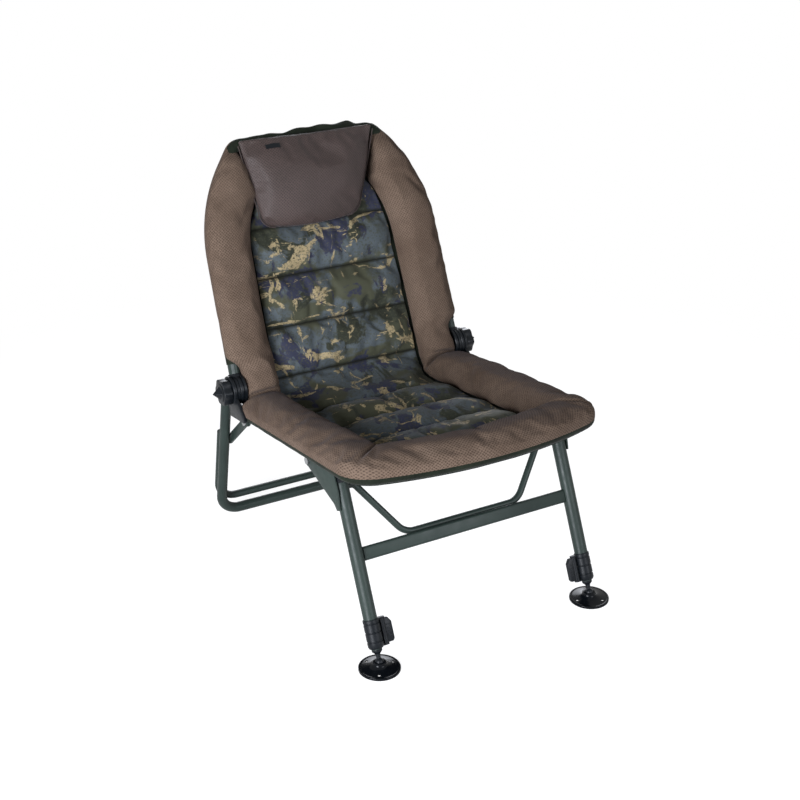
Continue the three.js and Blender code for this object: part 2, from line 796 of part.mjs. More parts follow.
const frontLugEnd = gussetStart - slideGap;
const strutLugEnd = strutStart - slideGap;
const frontPin = pivotPin(frontPivotReach, frontLugEnd - lugThickness, gussetEnd);
const strutPin = pivotPin(strutPivotReach, strutLugEnd - lugThickness, strutEnd);
addPair(seat, "front_leg_lug", railLug(frontPivotReach, frontLugEnd), powderCoat);
addPair(seat, "front_leg_pin", frontPin, zincSteel);
addPair(seat, "strut_lug", railLug(strutPivotReach, strutLugEnd), powderCoat);
addPair(seat, "strut_pin", strutPin, zincSteel);

// Front legs: drawn along their own lean, from the ball of the foot upwards.
const legs = new THREE.Group();
legs.position.set(0, -hubToFoot, ballHeight);
legs.rotation.x = -legAngle;
chair.add(legs);

// A place in the leg frame, as seen in the seat frame.
function legToSeat(y, z) {
  const place = vector(0, y, z).applyAxisAngle(vector(1, 0, 0), -legAngle);
  place.add(legs.position).sub(seat.position).applyAxisAngle(vector(1, 0, 0), seatAngle);
  return flat(place.y, place.z);
}

const ballInSeat = legToSeat(0, 0);
const legRun = Math.cos(legAngle - seatAngle);
const legTopLevel = (railUnder - legTopDrop - ballInSeat.y) / legRun;
const legBore = legTubeRadius - legTubeWall;
const legProfile = [
  flat(0, legTopLevel),
  flat(legTubeRadius, legTopLevel),
  flat(legTubeRadius, legTubeStart),
  flat(legBore, legTubeStart),
  flat(legBore, legTopLevel - legTubeWall),
  flat(0, legTopLevel - legTubeWall),
];
const legTube = revolved(legProfile, boreSides).translate(legHalfWidth, 0, 0);
addPair(legs, "front_leg", legTube, powderCoat);

// Gusset: a plate on the outside of the leg, which reaches back under the rail to the pivot.
const quarter = Math.PI / 2;
const gussetRound = arcPoints(
  -frontPivotReach,
  pivotLevel,
  gussetPivotRadius,
  -quarter,
  quarter,
  bendSteps * 2,
);
const gussetToe = legTopLevel - gussetLength;
const gussetFront = legToSeat(-legTubeRadius, legTopLevel);
const gussetShape = [
  ...gussetRound,
  flat(gussetFront.x, pivotLevel + gussetPivotRadius),
  gussetFront,
  legToSeat(-legTubeRadius, legTopLevel - gussetLength / 2),
  legToSeat(-legTubeRadius / 2, gussetToe),
  legToSeat(legTubeRadius / 2, gussetToe),
  legToSeat(legTubeRadius, gussetToe + legTubeRadius),
];
const gussetBore = barAcross(
  pivotPinRadius + gap,
  gussetStart - overrun,
  gussetEnd + overrun,
  -frontPivotReach,
  pivotLevel,
);
addPair(seat, "leg_gusset", cut(plateAcross(gussetShape, gussetStart, gussetEnd), gussetBore), powderCoat);

// Leg catch: a moulded stop on the rail, over the leg's upper end and down its front.
const lipFace = -legTubeRadius - catchLipGap;
const catchFront = lipFace - catchLipThickness;
const catchBack = catchFront + catchLength;
const catchTop = legTopLevel + slideGap;
const catchShape = [
  legToSeat(catchFront, catchTop - catchLipDrop),
  legToSeat(lipFace, catchTop - catchLipDrop),
  legToSeat(lipFace, catchTop),
  legToSeat(catchBack, catchTop),
  flat(legToSeat(catchBack, catchTop).x, seatSlingBase - gap),
  flat(legToSeat(catchFront, catchTop).x, seatSlingBase - gap),
];
const catchHeadShape = [
  legToSeat(catchFront, catchTop),
  legToSeat(catchBack, catchTop),
  flat(legToSeat(catchBack, catchTop).x, -railDepth),
  flat(legToSeat(catchFront, catchTop).x, -railDepth),
];
const railCut = new THREE.CylinderGeometry(
  frameTubeRadius + weldGap,
  frameTubeRadius + weldGap,
  catchLength * 2,
  tubeSides,
).translate(frameHalfWidth, legToSeat(0, legTopLevel).x, -railDepth);
const catchEnd = gussetStart - slideGap;
const catchBlock = plateAcross(catchShape, catchEnd - catchThickness, catchEnd);
const catchHead = plateAcross(catchHeadShape, frameHalfWidth - slingInset + gap, catchEnd);
addPair(seat, "leg_catch", cut(joined(catchBlock, catchHead), railCut), blackPlastic);

// Flat crossbar welded between the legs
const barHalf = legHalfWidth - legTubeRadius - weldGap;
const barEdge = crossbarThickness / 2;
const crossbarShape = [
  ...arcPoints(0, crossbarLevel + crossbarHeight / 2 - barEdge, barEdge, 0, Math.PI, bendSteps),
  ...arcPoints(0, crossbarLevel - crossbarHeight / 2 + barEdge, barEdge, Math.PI, 2 * Math.PI, bendSteps),
];
add(legs, "front_crossbar", plateAcross(crossbarShape, -barHalf, barHalf), powderCoat);

// Thin U brace behind the crossbar, which turns out to the legs at its upper ends
const bracePlane = barEdge + braceTubeRadius + gap;
const braceFront = bracePlane - braceTubeRadius;
const braceTopLevel = legTopLevel - braceTopDrop;
const braceEnd = legHalfWidth - Math.sqrt(legTubeRadius ** 2 - braceFront ** 2) - weldGap;
const braceCorners = [
  vector(braceEnd, bracePlane, braceTopLevel),
  vector(braceTopHalfWidth, bracePlane, braceTopLevel),
  vector(braceBarHalfWidth, bracePlane, braceLevel),
  vector(-braceBarHalfWidth, bracePlane, braceLevel),
  vector(-braceTopHalfWidth, bracePlane, braceTopLevel),
  vector(-braceEnd, bracePlane, braceTopLevel),
];
const braceRadii = [braceEndRadius, braceBendRadius, braceBendRadius, braceEndRadius];
add(legs, "front_brace", bentTube(bentPoints(braceCorners, braceRadii), braceTubeRadius), powderCoat);

// Leg collar: clamps the inner leg, with ears and a pin for the cam lever.
const collarBore = innerLegRadius + slideGap;
const collarSeat = legTubeRadius + gap;
const collarTaper = collarRadius - collarBore;
const ringAt = (level) => [
  flat(collarRadius, level),
  flat(collarRadius - collarRingDepth, level + collarRingDepth),
  flat(collarRadius - collarRingDepth, level + collarRingHeight - collarRingDepth),
  flat(collarRadius, level + collarRingHeight),
];
const collarProfile = [
  flat(collarBore, collarStart),
  flat(collarRadius - collarTaper / 2, collarStart),
  flat(collarRadius, collarStart + collarTaper),
  ...ringAt(legTubeStart),
  ...ringAt(collarEnd - collarRingHeight * 3),
  flat(collarRadius, collarEnd),
  flat(collarSeat, collarEnd),
  flat(collarSeat, legTubeStart - gap),
  flat(collarBore, legTubeStart - gap),
  flat(collarBore, collarStart),
];
const leverPivot = collarRadius + leverBarrelRadius + slideGap;
const leverMiddle = (collarStart + collarEnd) / 2;
const leverBase = leverMiddle - leverHeight / 2;
const earLength = leverPivot - collarSeat;
function collarEar(fromZ) {
  const ear = new THREE.BoxGeometry(earLength, leverBarrelRadius * 2, earThickness);
  ear.translate(legHalfWidth - collarSeat - earLength / 2, 0, fromZ + earThickness / 2);
  const round = new THREE.CylinderGeometry(leverBarrelRadius, leverBarrelRadius, earThickness, boreSides);
  round.rotateX(Math.PI / 2).translate(legHalfWidth - leverPivot, 0, fromZ + earThickness / 2);
  return joined(ear, round);
}
const leverPinLength = leverHeight + earThickness;
const leverPin = new THREE.CylinderGeometry(leverPinRadius, leverPinRadius, leverPinLength, tubeSides);
leverPin.rotateX(Math.PI / 2).translate(legHalfWidth - leverPivot, 0, leverMiddle);
const collarBody = revolved(collarProfile, boreSides).translate(legHalfWidth, 0, 0);
const lowEar = collarEar(leverBase - gap - earThickness);
const highEar = collarEar(leverBase + leverHeight + gap);
addPair(legs, "leg_collar", joined(collarBody, lowEar, highEar, leverPin), blackPlastic);

// Cam lever: a barrel on the collar's pin with a tapered paddle.
const barrel = new THREE.CylinderGeometry(leverBarrelRadius, leverBarrelRadius, leverHeight, boreSides);
barrel.rotateX(Math.PI / 2).translate(legHalfWidth - leverPivot, 0, leverMiddle);
const paddleRoot = legHalfWidth - leverPivot;
const paddleTip = paddleRoot + leverBarrelRadius - leverReach;
const paddleShape = new THREE.Shape([
  flat(paddleRoot, -leverThickness / 2),
  flat(paddleRoot, leverThickness / 2),
  flat(paddleTip + leverThickness, leverThickness / 2),
  flat(paddleTip, leverThickness / 4),
  flat(paddleTip, -leverThickness / 2),
]);
const paddle = new THREE.ExtrudeGeometry(paddleShape, { depth: leverHeight, bevelEnabled: false });
paddle.translate(0, 0, leverBase);
const boreRadius = leverPinRadius + gap;
const leverBore = new THREE.CylinderGeometry(boreRadius, boreRadius, leverHeight * 2, tubeSides);
leverBore.rotateX(Math.PI / 2).translate(legHalfWidth - leverPivot, 0, leverMiddle);
addPair(legs, "cam_lever", cut(joined(barrel, paddle), leverBore), blackPlastic);

// Inner leg: slides in the leg tube and carries the ball stud.
const innerBore = innerLegRadius - innerLegWall;
const innerProfile = [
  flat(innerLegRadius, innerLegStart),
  flat(innerLegRadius, innerLegStart + innerLegLength),
  flat(innerBore, innerLegStart + innerLegLength),
  flat(innerBore, innerLegStart),
  flat(innerLegRadius, innerLegStart),
];
addPair(legs, "inner_leg", revolved(innerProfile, boreSides).translate(legHalfWidth, 0, 0), powderCoat);

const ballTop = Math.acos(ballNeckRadius / ballRadius);
const studTop = innerLegStart - gap;
const studProfile = [
  ...arcPoints(0, 0, ballRadius, -Math.PI / 2, ballTop, bendSteps * 2),
  flat(ballNeckRadius, ballNeckLength),
  flat(innerLegRadius, ballNeckLength + ballNeckRadius / 2),
  flat(innerLegRadius, studTop),
  flat(0, studTop),
];
studProfile[0].x = 0;
addPair(legs, "ball_stud", revolved(studProfile, boreSides).translate(legHalfWidth, 0, 0), blackPlastic);

// Mud foot: a dished disc that tips on the ball, with drain holes.
const feet = new THREE.Group();
feet.position.copy(legs.position);
chair.add(feet);
const socketRadius = ballRadius + gap;
const underside = footDish - ballHeight;
const dishShares = [0.94, 0.78, 0.6, 0.45];
const riseShares = [0.36, 0.42, 0.5, 0.62];
const dishProfile = dishShares.map((share, i) =>
  flat(footRadius * share, ballHeight * (riseShares[i] - 1)),
);
const footProfile = [
  flat(0, underside),
  flat(footRadius - footRimWidth - footDish, underside),
  flat(footRadius - footRimWidth, -ballHeight),
  flat(footRadius, -ballHeight),
  flat(footRadius, footRimHeight - ballHeight),
  ...dishProfile,
  flat(footSocketRadius, -socketRadius / 4),
  flat(footSocketRadius, socketRadius * Math.sin(socketLip) - gap),
  ...arcPoints(0, 0, socketRadius, socketLip, -Math.PI / 2, bendSteps),
];
footProfile[footProfile.length - 1].x = 0;
const footBody = revolved(footProfile, discSides);
const drains = [];
for (let k = 0; k < footHoles; k += 1) {
  const turn = (2 * Math.PI * (k + 0.5)) / footHoles;
  const drain = new THREE.CylinderGeometry(footHoleRadius, footHoleRadius, ballHeight * 2, tubeSides);
  drain.rotateX(Math.PI / 2);
  drain.translate(footHoleCircle * Math.cos(turn), footHoleCircle * Math.sin(turn), -ballHeight);
  drains.push(drain);
}
addPair(feet, "mud_foot", cut(footBody, ...drains).translate(legHalfWidth, 0, 0), glossPlastic);

// Rear legs: a U of tube whose upper ends stand in the hub saddles.
const rear = new THREE.Group();
rear.position.copy(legTop).applyAxisAngle(vector(1, 0, 0), -seatAngle).add(seat.position);
rear.rotation.x = rearAngle;
chair.add(rear);
const rearLength = (rear.position.z - rearTubeRadius) / Math.cos(rearAngle);
const rearCorners = [
  vector(rearHalfWidth, 0, 0),
  vector(rearHalfWidth, 0, -rearLength),
  vector(-rearHalfWidth, 0, -rearLength),
  vector(-rearHalfWidth, 0, 0),
];
const rearRadii = [rearBendRadius, rearBendRadius];
add(rear, "rear_leg_frame", bentTube(bentPoints(rearCorners, rearRadii), rearTubeRadius), powderCoat);

// A lighter U nested against the back of the rear legs
const nestPlane = rearTubeRadius + innerFrameTubeRadius + gap;
const nestTop = strutWidth / 2 - strutFootDrop;
const nestBar = innerFrameRaise - rearLength;
const nestCorners = [
  vector(rearHalfWidth, nestPlane, nestTop),
  vector(rearHalfWidth, nestPlane, nestBar),
  vector(-rearHalfWidth, nestPlane, nestBar),
  vector(-rearHalfWidth, nestPlane, nestTop),
];
const nestTube = bentTube(bentPoints(nestCorners, rearRadii), innerFrameTubeRadius);
add(rear, "rear_inner_frame", nestTube, powderCoat);

// Flat struts from the rail pivots down to the rear legs
const strutFoot = vector(0, 0, -strutFootDrop)
  .applyAxisAngle(vector(1, 0, 0), rearAngle)
  .add(rear.position)
  .sub(seat.position)
  .applyAxisAngle(vector(1, 0, 0), seatAngle);
const strutHead = flat(-strutPivotReach, pivotLevel);
const strutLine = Math.atan2(strutFoot.z - strutHead.y, strutFoot.y - strutHead.x);
const strutRadius = strutWidth / 2;
const strutToe = flat(strutFoot.y, strutFoot.z).sub(strutHead);
strutToe.setLength(strutToe.length() + strutFootOverlap - strutRadius).add(strutHead);
const strutRound = (end, turn) =>
  arcPoints(end.x, end.y, strutRadius, turn - quarter, turn + quarter, bendSteps);
const strutShape = [...strutRound(strutHead, strutLine + Math.PI), ...strutRound(strutToe, strutLine)];
const strutBar = plateAcross(strutShape, strutStart, strutEnd);
const strutBore = barAcross(
  pivotPinRadius + gap,
  strutStart - overrun,
  strutEnd + overrun,
  strutHead.x,
  strutHead.y,
);
addPair(seat, "rear_strut", cut(strutBar, strutBore), powderCoat);

// The chair stands with the middle of its footprint at the origin.
chair.updateMatrixWorld(true);
const footprint = new THREE.Box3().setFromObject(chair, true);
chair.position.y = -(footprint.min.y + footprint.max.y) / 2;

export default chair;
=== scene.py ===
import json
import math

import bmesh
import bpy
from mathutils import Matrix, Vector, noise


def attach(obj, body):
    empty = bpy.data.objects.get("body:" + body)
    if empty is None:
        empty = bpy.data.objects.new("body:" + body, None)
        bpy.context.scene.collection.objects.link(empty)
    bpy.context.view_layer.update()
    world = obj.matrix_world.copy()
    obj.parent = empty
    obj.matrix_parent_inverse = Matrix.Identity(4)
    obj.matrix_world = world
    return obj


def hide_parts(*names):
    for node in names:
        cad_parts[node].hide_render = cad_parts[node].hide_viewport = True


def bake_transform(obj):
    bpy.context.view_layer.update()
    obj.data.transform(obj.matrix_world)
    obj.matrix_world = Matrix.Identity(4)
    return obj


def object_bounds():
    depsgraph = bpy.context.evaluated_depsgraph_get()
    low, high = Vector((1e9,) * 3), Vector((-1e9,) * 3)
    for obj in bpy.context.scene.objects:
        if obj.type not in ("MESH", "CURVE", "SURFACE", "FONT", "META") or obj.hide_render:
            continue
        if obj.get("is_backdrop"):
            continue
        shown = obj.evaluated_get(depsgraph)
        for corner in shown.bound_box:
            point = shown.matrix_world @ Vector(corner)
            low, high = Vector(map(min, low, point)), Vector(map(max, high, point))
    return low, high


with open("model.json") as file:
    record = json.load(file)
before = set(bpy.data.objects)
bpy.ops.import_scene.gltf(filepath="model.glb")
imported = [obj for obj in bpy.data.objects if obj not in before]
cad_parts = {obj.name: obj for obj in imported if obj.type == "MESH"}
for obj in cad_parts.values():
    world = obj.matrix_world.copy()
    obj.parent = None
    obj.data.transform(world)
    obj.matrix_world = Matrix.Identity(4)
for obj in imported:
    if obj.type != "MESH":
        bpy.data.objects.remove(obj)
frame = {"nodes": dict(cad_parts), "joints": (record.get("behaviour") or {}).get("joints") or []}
cad_low, cad_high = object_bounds()
joints = {joint["name"]: joint for joint in frame["joints"]}

# Camera. It looks down on the chair from beyond its right front foot, as the photograph does.
film_width = 36
focal_length = 61.335
camera_place = Vector((-1.1632, -2.0757, 1.4205))
camera_aim = Vector((0, -0.0198, 0.334))
camera_data = bpy.data.cameras.new("camera")
camera_data.sensor_width = film_width
camera_data.lens = focal_length
camera = bpy.data.objects.new("camera", camera_data)
camera.location = camera_place
camera.rotation_euler = (camera_aim - camera_place).to_track_quat("-Z", "Y").to_euler()
bpy.context.scene.collection.objects.link(camera)
bpy.context.scene.camera = camera
bpy.context.scene.view_settings.view_transform = "Standard"

# Studio. A pale matt floor and a plain white surround, which the camera and glossy rays see at
# full strength, under one broad soft lamp from the chair's right, a weaker one in front and
# another behind.


def linear(colour):
    """The linear colour of an sRGB hex value."""
    parts = [int(colour[i : i + 2], 16) / 255 for i in (1, 3, 5)]
    return [c / 12.92 if c <= 0.04045 else ((c + 0.055) / 1.055) ** 2.4 for c in parts] + [1]


def add(tree, kind, sockets=(), **settings):
    """Adds a node: its settings by name, its sockets as values or as outputs to link."""
    made = tree.nodes.new(kind)
    for key, value in settings.items():
        setattr(made, key, value)
    for key, value in dict(sockets).items():
        if isinstance(value, bpy.types.NodeSocket):
            tree.links.new(value, made.inputs[key])
        else:
            made.inputs[key].default_value = value
    return made


def blank(name):
    """A new material with an empty tree."""
    material = bpy.data.materials.new(name)
    material.use_nodes = True
    material.node_tree.nodes.clear()
    return material, material.node_tree


def shown(obj, material):
    """Links a new object into the scene with its material."""
    obj.data.materials.append(material)
    bpy.context.scene.collection.objects.link(obj)
    return obj


def maths(tree, operation, *values):
    """The result of one operation on values or outputs."""
    return add(tree, "ShaderNodeMath", dict(enumerate(values)), operation=operation).outputs[0]


def ranged(tree, value, start=0, end=1, low=0, high=1, **settings):
    """A value carried from one range over to another."""
    limits = {"Value": value, "From Min": start, "From Max": end, "To Min": low, "To Max": high}
    return add(tree, "ShaderNodeMapRange", limits, **settings).outputs["Result"]


def seen_rays(tree):
    """1 for the rays that see the surround itself: from the camera, a gloss or a glass."""
    rays = add(tree, "ShaderNodeLightPath").outputs
    direct = maths(tree, "MAXIMUM", rays["Is Camera Ray"], rays["Is Glossy Ray"])
    return maths(tree, "MAXIMUM", direct, rays["Is Transmission Ray"])


def meshed(name, bm):
    """The mesh of a form that is finished with."""
    mesh = bpy.data.meshes.new(name)
    bm.to_mesh(mesh)
    bm.free()
    return mesh


floor_half = 14
floor_albedo = 0.8
floor_light = 0.46
shadow_reach = (0.5, 1.6)
shadow_share = 0.30
floor_paint, tree = blank("pale_floor")
seen = seen_rays(tree)
spot = add(tree, "ShaderNodeTexCoord").outputs["Object"]
away = add(tree, "ShaderNodeVectorMath", {0: spot}, operation="LENGTH")
near = ranged(
    tree,
    away.outputs["Value"],
    *shadow_reach,
    shadow_share,
    0,
    interpolation_type="SMOOTHSTEP",
)
tone = ranged(tree, seen, 0, 1, floor_albedo, near)
glow = maths(tree, "MULTIPLY", maths(tree, "MULTIPLY_ADD", near, -floor_light, 1), seen)
matt = add(tree, "ShaderNodeBsdfDiffuse", {"Color": tone})
white = add(tree, "ShaderNodeEmission", {"Strength": glow})
both = add(tree, "ShaderNodeAddShader", {0: matt.outputs["BSDF"], 1: white.outputs["Emission"]})
add(tree, "ShaderNodeOutputMaterial", {"Surface": both.outputs["Shader"]})
bm = bmesh.new()
bmesh.ops.create_grid(bm, x_segments=1, y_segments=1, size=floor_half)
floor_mesh = meshed("floor", bm)
shown(bpy.data.objects.new("floor", floor_mesh), floor_paint)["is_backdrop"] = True

surround_strength = 0.09
world = bpy.data.worlds.new("studio")
bpy.context.scene.world = world
world.use_nodes = True
tree = world.node_tree
tree.nodes.clear()
strength = ranged(tree, seen_rays(tree), 0, 1, surround_strength, 1)
sky = add(tree, "ShaderNodeBackground", {"Color": linear("#ffffff"), "Strength": strength})
add(tree, "ShaderNodeOutputWorld", {"Surface": sky.outputs["Background"]})

lamps = {
    "key_lamp": ((-2.35, -1.5, 0.88), 1.5, 180),
    "front_lamp": ((0.9, -2.6, 1.3), 1.6, 50),
    "rear_lamp": ((1.3, 2.6, 0.9), 1.8, 44),
}
lamp_aim = Vector((0, 0, 0.42))
lamp_colour = (0.95, 0.98, 1.06)
for name, (place, size, power) in lamps.items():
    lamp = bpy.data.lights.new(name, "AREA")
    lamp.shape = "DISK"
    lamp.size = size
    lamp.energy = power
    lamp.color = lamp_colour
    holder = bpy.data.objects.new(name, lamp)
    holder.location = place
    holder.rotation_euler = (lamp_aim - holder.location).to_track_quat("-Z", "Y").to_euler()
    bpy.context.scene.collection.objects.link(holder)

# Frame tubes. Round mild steel tube, cold bent and powder coated in dark grey-green: an even
# satin skin with the faint orange peel of fused powder and dull scuffs from handling.
hub = Vector(joints["back_recline"]["pos_m"])
seat_rise = math.radians(8.1)
back_lean = math.radians(23.5)
seat_forward = Vector((0, -math.cos(seat_rise), math.sin(seat_rise)))
seat_up = Vector((0, math.sin(seat_rise), math.cos(seat_rise)))
back_up = Vector((0, math.sin(back_lean), math.cos(back_lean)))
back_front = Vector((0, -math.cos(back_lean), math.sin(back_lean)))
across = Vector((1, 0, 0))
seat_space = Matrix.Translation(hub) @ Matrix.Rotation(-seat_rise, 4, "X")
back_space = Matrix.Translation(hub) @ Matrix.Rotation(-back_lean, 4, "X")


def mottle(tree, place, scale, detail, roughness=0.5, warp=0):
    """The value of a cloudy pattern."""
    cloud = {"Vector": place, "Scale": scale, "Detail": detail}
    cloud |= {"Roughness": roughness, "Distortion": warp}
    return add(tree, "ShaderNodeTexNoise", cloud).outputs["Fac"]


def two_tone(tree, value, dark, light, start=0, end=1):
    """A colour that goes from one to another with a value."""
    ramp = add(tree, "ShaderNodeValToRGB", {"Fac": value})
    for stop, place, colour in zip(ramp.color_ramp.elements, (start, end), (dark, light)):
        stop.position = place
        stop.color = linear(colour)
    return ramp.outputs["Color"]


def bumped(tree, height, strength, distance):
    """The normal of a face that a pattern roughens."""
    relief = {"Height": height, "Strength": strength, "Distance": distance}
    return add(tree, "ShaderNodeBump", relief).outputs["Normal"]


def surface(tree, sockets):
    """Ends a material's tree in one surface."""
    skin = add(tree, "ShaderNodeBsdfPrincipled", sockets)
    add(tree, "ShaderNodeOutputMaterial", {"Surface": skin.outputs["BSDF"]})


powder_coat, tree = blank("powder_coated_steel")
peel_size = 0.0016
tone_size = 0.09
scuff_size = 0.012
spot = add(tree, "ShaderNodeTexCoord").outputs["Object"]
scuff = mottle(tree, spot, 1 / scuff_size, 8)
surface(
    tree,
    {
        "Base Color": two_tone(
            tree, mottle(tree, spot, 1 / tone_size, 6), "#1c2421", "#242d29", 0.3, 0.75
        ),
        "Roughness": ranged(tree, scuff, 0.3, 0.7, 0.34, 0.5),
        "Normal": bumped(tree, mottle(tree, spot, 1 / peel_size, 1), 0.15, 0.0004),
        "IOR": 1.5,
        "Specular IOR Level": 0.16,
    },
)


def bent(corners, radii, steps=12):
    """A route along straight runs whose corners are bent to the radii."""
    route = [corners[0]]
    for before, corner, after, radius in zip(corners, corners[1:], corners[2:], radii):
        back = (before - corner).normalized()
        on = (after - corner).normalized()
        half = back.angle(on) / 2
        centre = corner + (back + on).normalized() * radius / math.sin(half)
        start = corner + back * radius / math.tan(half) - centre
        end = corner + on * radius / math.tan(half) - centre
        axis = start.cross(end).normalized()
        for k in range(steps + 1):
            turn = Matrix.Rotation(start.angle(end) * k / steps, 3, axis)
            route.append(centre + turn @ start)
    return [*route, corners[-1]]


smooth_angle = math.radians(35)


def finished(name, mesh, material, body, slot, *replaced):
    """The object of a finished mesh: it rides on a body and stands for CAD nodes."""
    mesh.shade_smooth()
    mesh.set_sharp_from_angle(angle=smooth_angle)
    obj = shown(bpy.data.objects.new(name, mesh), material)
    if body:
        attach(obj, body)
    if replaced:
        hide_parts(*replaced)
    return obj


def baked(name, holder):
    """The mesh that an object shows with its curve or modifiers applied, without the object."""
    bpy.context.scene.collection.objects.link(holder)
    bpy.context.view_layer.update()
    applied = holder.evaluated_get(bpy.context.evaluated_depsgraph_get())
    bm = bmesh.new()
    bm.from_mesh(applied.to_mesh())
    bpy.data.objects.remove(holder)
    bmesh.ops.remove_doubles(bm, verts=bm.verts, dist=0.00001)
    bmesh.ops.recalc_face_normals(bm, faces=bm.faces)
    return meshed(name, bm)


def tube_mesh(name, route, radius, facets=10):
    """A round tube along a route, with closed ends."""
    curve = bpy.data.curves.new(name, "CURVE")
    curve.dimensions = "3D"
    curve.bevel_depth = radius
    curve.bevel_resolution = facets
    curve.use_fill_caps = True
    spline = curve.splines.new("POLY")
    spline.points.add(len(route) - 1)
    for point, place in zip(spline.points, route):
        point.co = (*place, 1)
    return baked(name, bpy.data.objects.new(name, curve))


def repainted(material, *names):
    """Gives pieces of the frame a material in place of their own."""
    for name in names:
        worn = frame["nodes"][name].data.materials
        worn.clear()
        worn.append(material)


repainted(powder_coat, "seat_frame", "back_frame")
for name in ("front_leg_lug", "strut_lug", "inner_leg"):
    repainted(powder_coat, f"{name}_left", f"{name}_right")

# Rear legs. A U of tube stands in the hub saddles, and a lighter U is nested against its back.
# A flat strut on each side, pressed from strip, ties it to a pivot under the rail.
rear_lean = math.radians(13)
rear_pivot = (0.039, -0.020)
rear_top = seat_space @ Vector((0, *rear_pivot))
rear_space = Matrix.Translation(rear_top) @ Matrix.Rotation(rear_lean, 4, "X")
rear_half = 0.256
rear_radius = 0.0105
rear_bend = 0.042
nest_radius = 0.008
nest_raise = 0.020
nest_drop = 0.103
gap = 0.0003
rear_length = (rear_top.z - rear_radius) / math.cos(rear_lean)


def hoop(name, half, back, top, foot, bend, radius):
    """A U of tube in the plane of the rear legs."""
    corners = [(half, top), (half, foot), (-half, foot), (-half, top)]
    route = [rear_space @ Vector((side, back, -drop)) for side, drop in corners]
    return tube_mesh(name, bent(route, [bend] * 2), radius)


rear_mesh = hoop("rear_hoop", rear_half, 0, 0, rear_length, rear_bend, rear_radius)
finished("rear_leg_tube", rear_mesh, powder_coat, "rear_legs", "frame_coat", "rear_leg_frame")
nest_back = rear_radius + nest_radius + gap
nest_foot = rear_length - nest_raise
nest_mesh = hoop("nest_hoop", rear_half, nest_back, nest_drop, nest_foot, rear_bend, nest_radius)
finished("rear_nest_tube", nest_mesh, powder_coat, "rear_legs", "frame_coat", "rear_inner_frame")

flat_onto_side = Matrix(((0, 0, 1, 0), (1, 0, 0, 0), (0, 1, 0, 0), (0, 0, 0, 1)))
sharp_angle = math.radians(25)


def softened(bm, width, steps=2):
    """Rounds every sharp edge of a part."""
    bmesh.ops.recalc_face_normals(bm, faces=bm.faces)
    sharp = [e for e in bm.edges if e.is_manifold and e.calc_face_angle() > sharp_angle]
    bmesh.ops.bevel(
        bm,
        geom=sharp,
        offset=width,
        offset_type="OFFSET",
        segments=steps,
        profile=0.5,
        affect="EDGES",
        material=-1,
        clamp_overlap=True,
    )
    return bm


def plate(outline, low, high, width, standing=True, steps=2):
    """A flat part with rounded edges: its outline in (y, z), its thickness along X."""
    bm = bmesh.new()
    face = bm.faces.new([bm.verts.new((*point, low)) for point in outline])
    grown = bmesh.ops.extrude_face_region(bm, geom=[face])["geom"]
    lifted = [item for item in grown if isinstance(item, bmesh.types.BMVert)]
    bmesh.ops.translate(bm, vec=(0, 0, high - low), verts=lifted)
    softened(bm, width, steps)
    if standing:
        bm.transform(flat_onto_side)
    return bm


def round_end(centre, radius, start, end, steps=16):
    """The points of an arc in a part's outline, from one angle to another."""
    turns = [start + (end - start) * k / steps for k in range(steps + 1)]
    return [(centre[0] + radius * math.cos(t), centre[1] + radius * math.sin(t)) for t in turns]


def on_both_sides(name, make, space, material, bodies, slot, *nodes):
    """Makes a part for the sitter's left and its mirror image for the right."""
    for side, sign in (("left", 1), ("right", -1)):
        bm = bmesh.new()
        for part in make():
            part.transform(space @ Matrix.Diagonal((sign, 1, 1, 1)))
            bmesh.ops.recalc_face_normals(part, faces=part.faces)
            held = meshed(name, part)
            bm.from_mesh(held)
            bpy.data.meshes.remove(held)
        mesh = meshed(f"{name}_{side}", bm)
        body = bodies.format(side)
        finished(mesh.name, mesh, material, body, slot, *(f"{node}_{side}" for node in nodes))


rail_depth = 0.042
rail_radius = 0.011
rail_under = -rail_depth - rail_radius
pivot_level = rail_under - 0.012
strut_pivot = (-0.013, pivot_level)
strut_radius = 0.009
strut_sides = (0.2401, 0.2451)
strut_foot = seat_space.inverted() @ (rear_space @ Vector((0, 0, -0.112)))
strut_line = Vector((strut_foot.y - strut_pivot[0], strut_foot.z - strut_pivot[1]))
strut_turn = math.atan2(strut_line.y, strut_line.x)
strut_toe = Vector(strut_pivot) + strut_line.normalized() * (strut_line.length + 0.003)


def strut():
    """The flat strut, round at both ends."""
    quarter = math.pi / 2
    top = round_end(strut_pivot, strut_radius, strut_turn + quarter, strut_turn + 3 * quarter)
    toe = round_end(strut_toe, strut_radius, strut_turn - quarter, strut_turn + quarter)
    return [plate([*top, *toe], *strut_sides, 0.0007)]


on_both_sides(
    "strut_strip", strut, seat_space, powder_coat, "rear_legs", "frame_coat", "rear_strut"
)

# Front legs. Round tube with a gusset plate welded outside its top, a flat crossbar between the
# legs, and a thin U of tube behind the bar that braces them.
leg_foot = Vector(joints["foot_tilt_left"]["pos_m"])
leg_half = leg_foot.x
leg_lean = math.radians(25)
leg_space = Matrix.Translation((0, leg_foot.y, leg_foot.z)) @ Matrix.Rotation(-leg_lean, 4, "X")
leg_radius = 0.0125
leg_bore = 0.011
leg_start = 0.036
leg_top = 0.33767
brace_radius = 0.00625
brace_plane = 0.01155
brace_bar_half = 0.120
brace_top_half = 0.198
brace_level = 0.204
brace_top = 0.312
brace_bend = 0.038
brace_end_bend = 0.014
bar_level = 0.190
bar_height = 0.025
bar_edge = 0.005


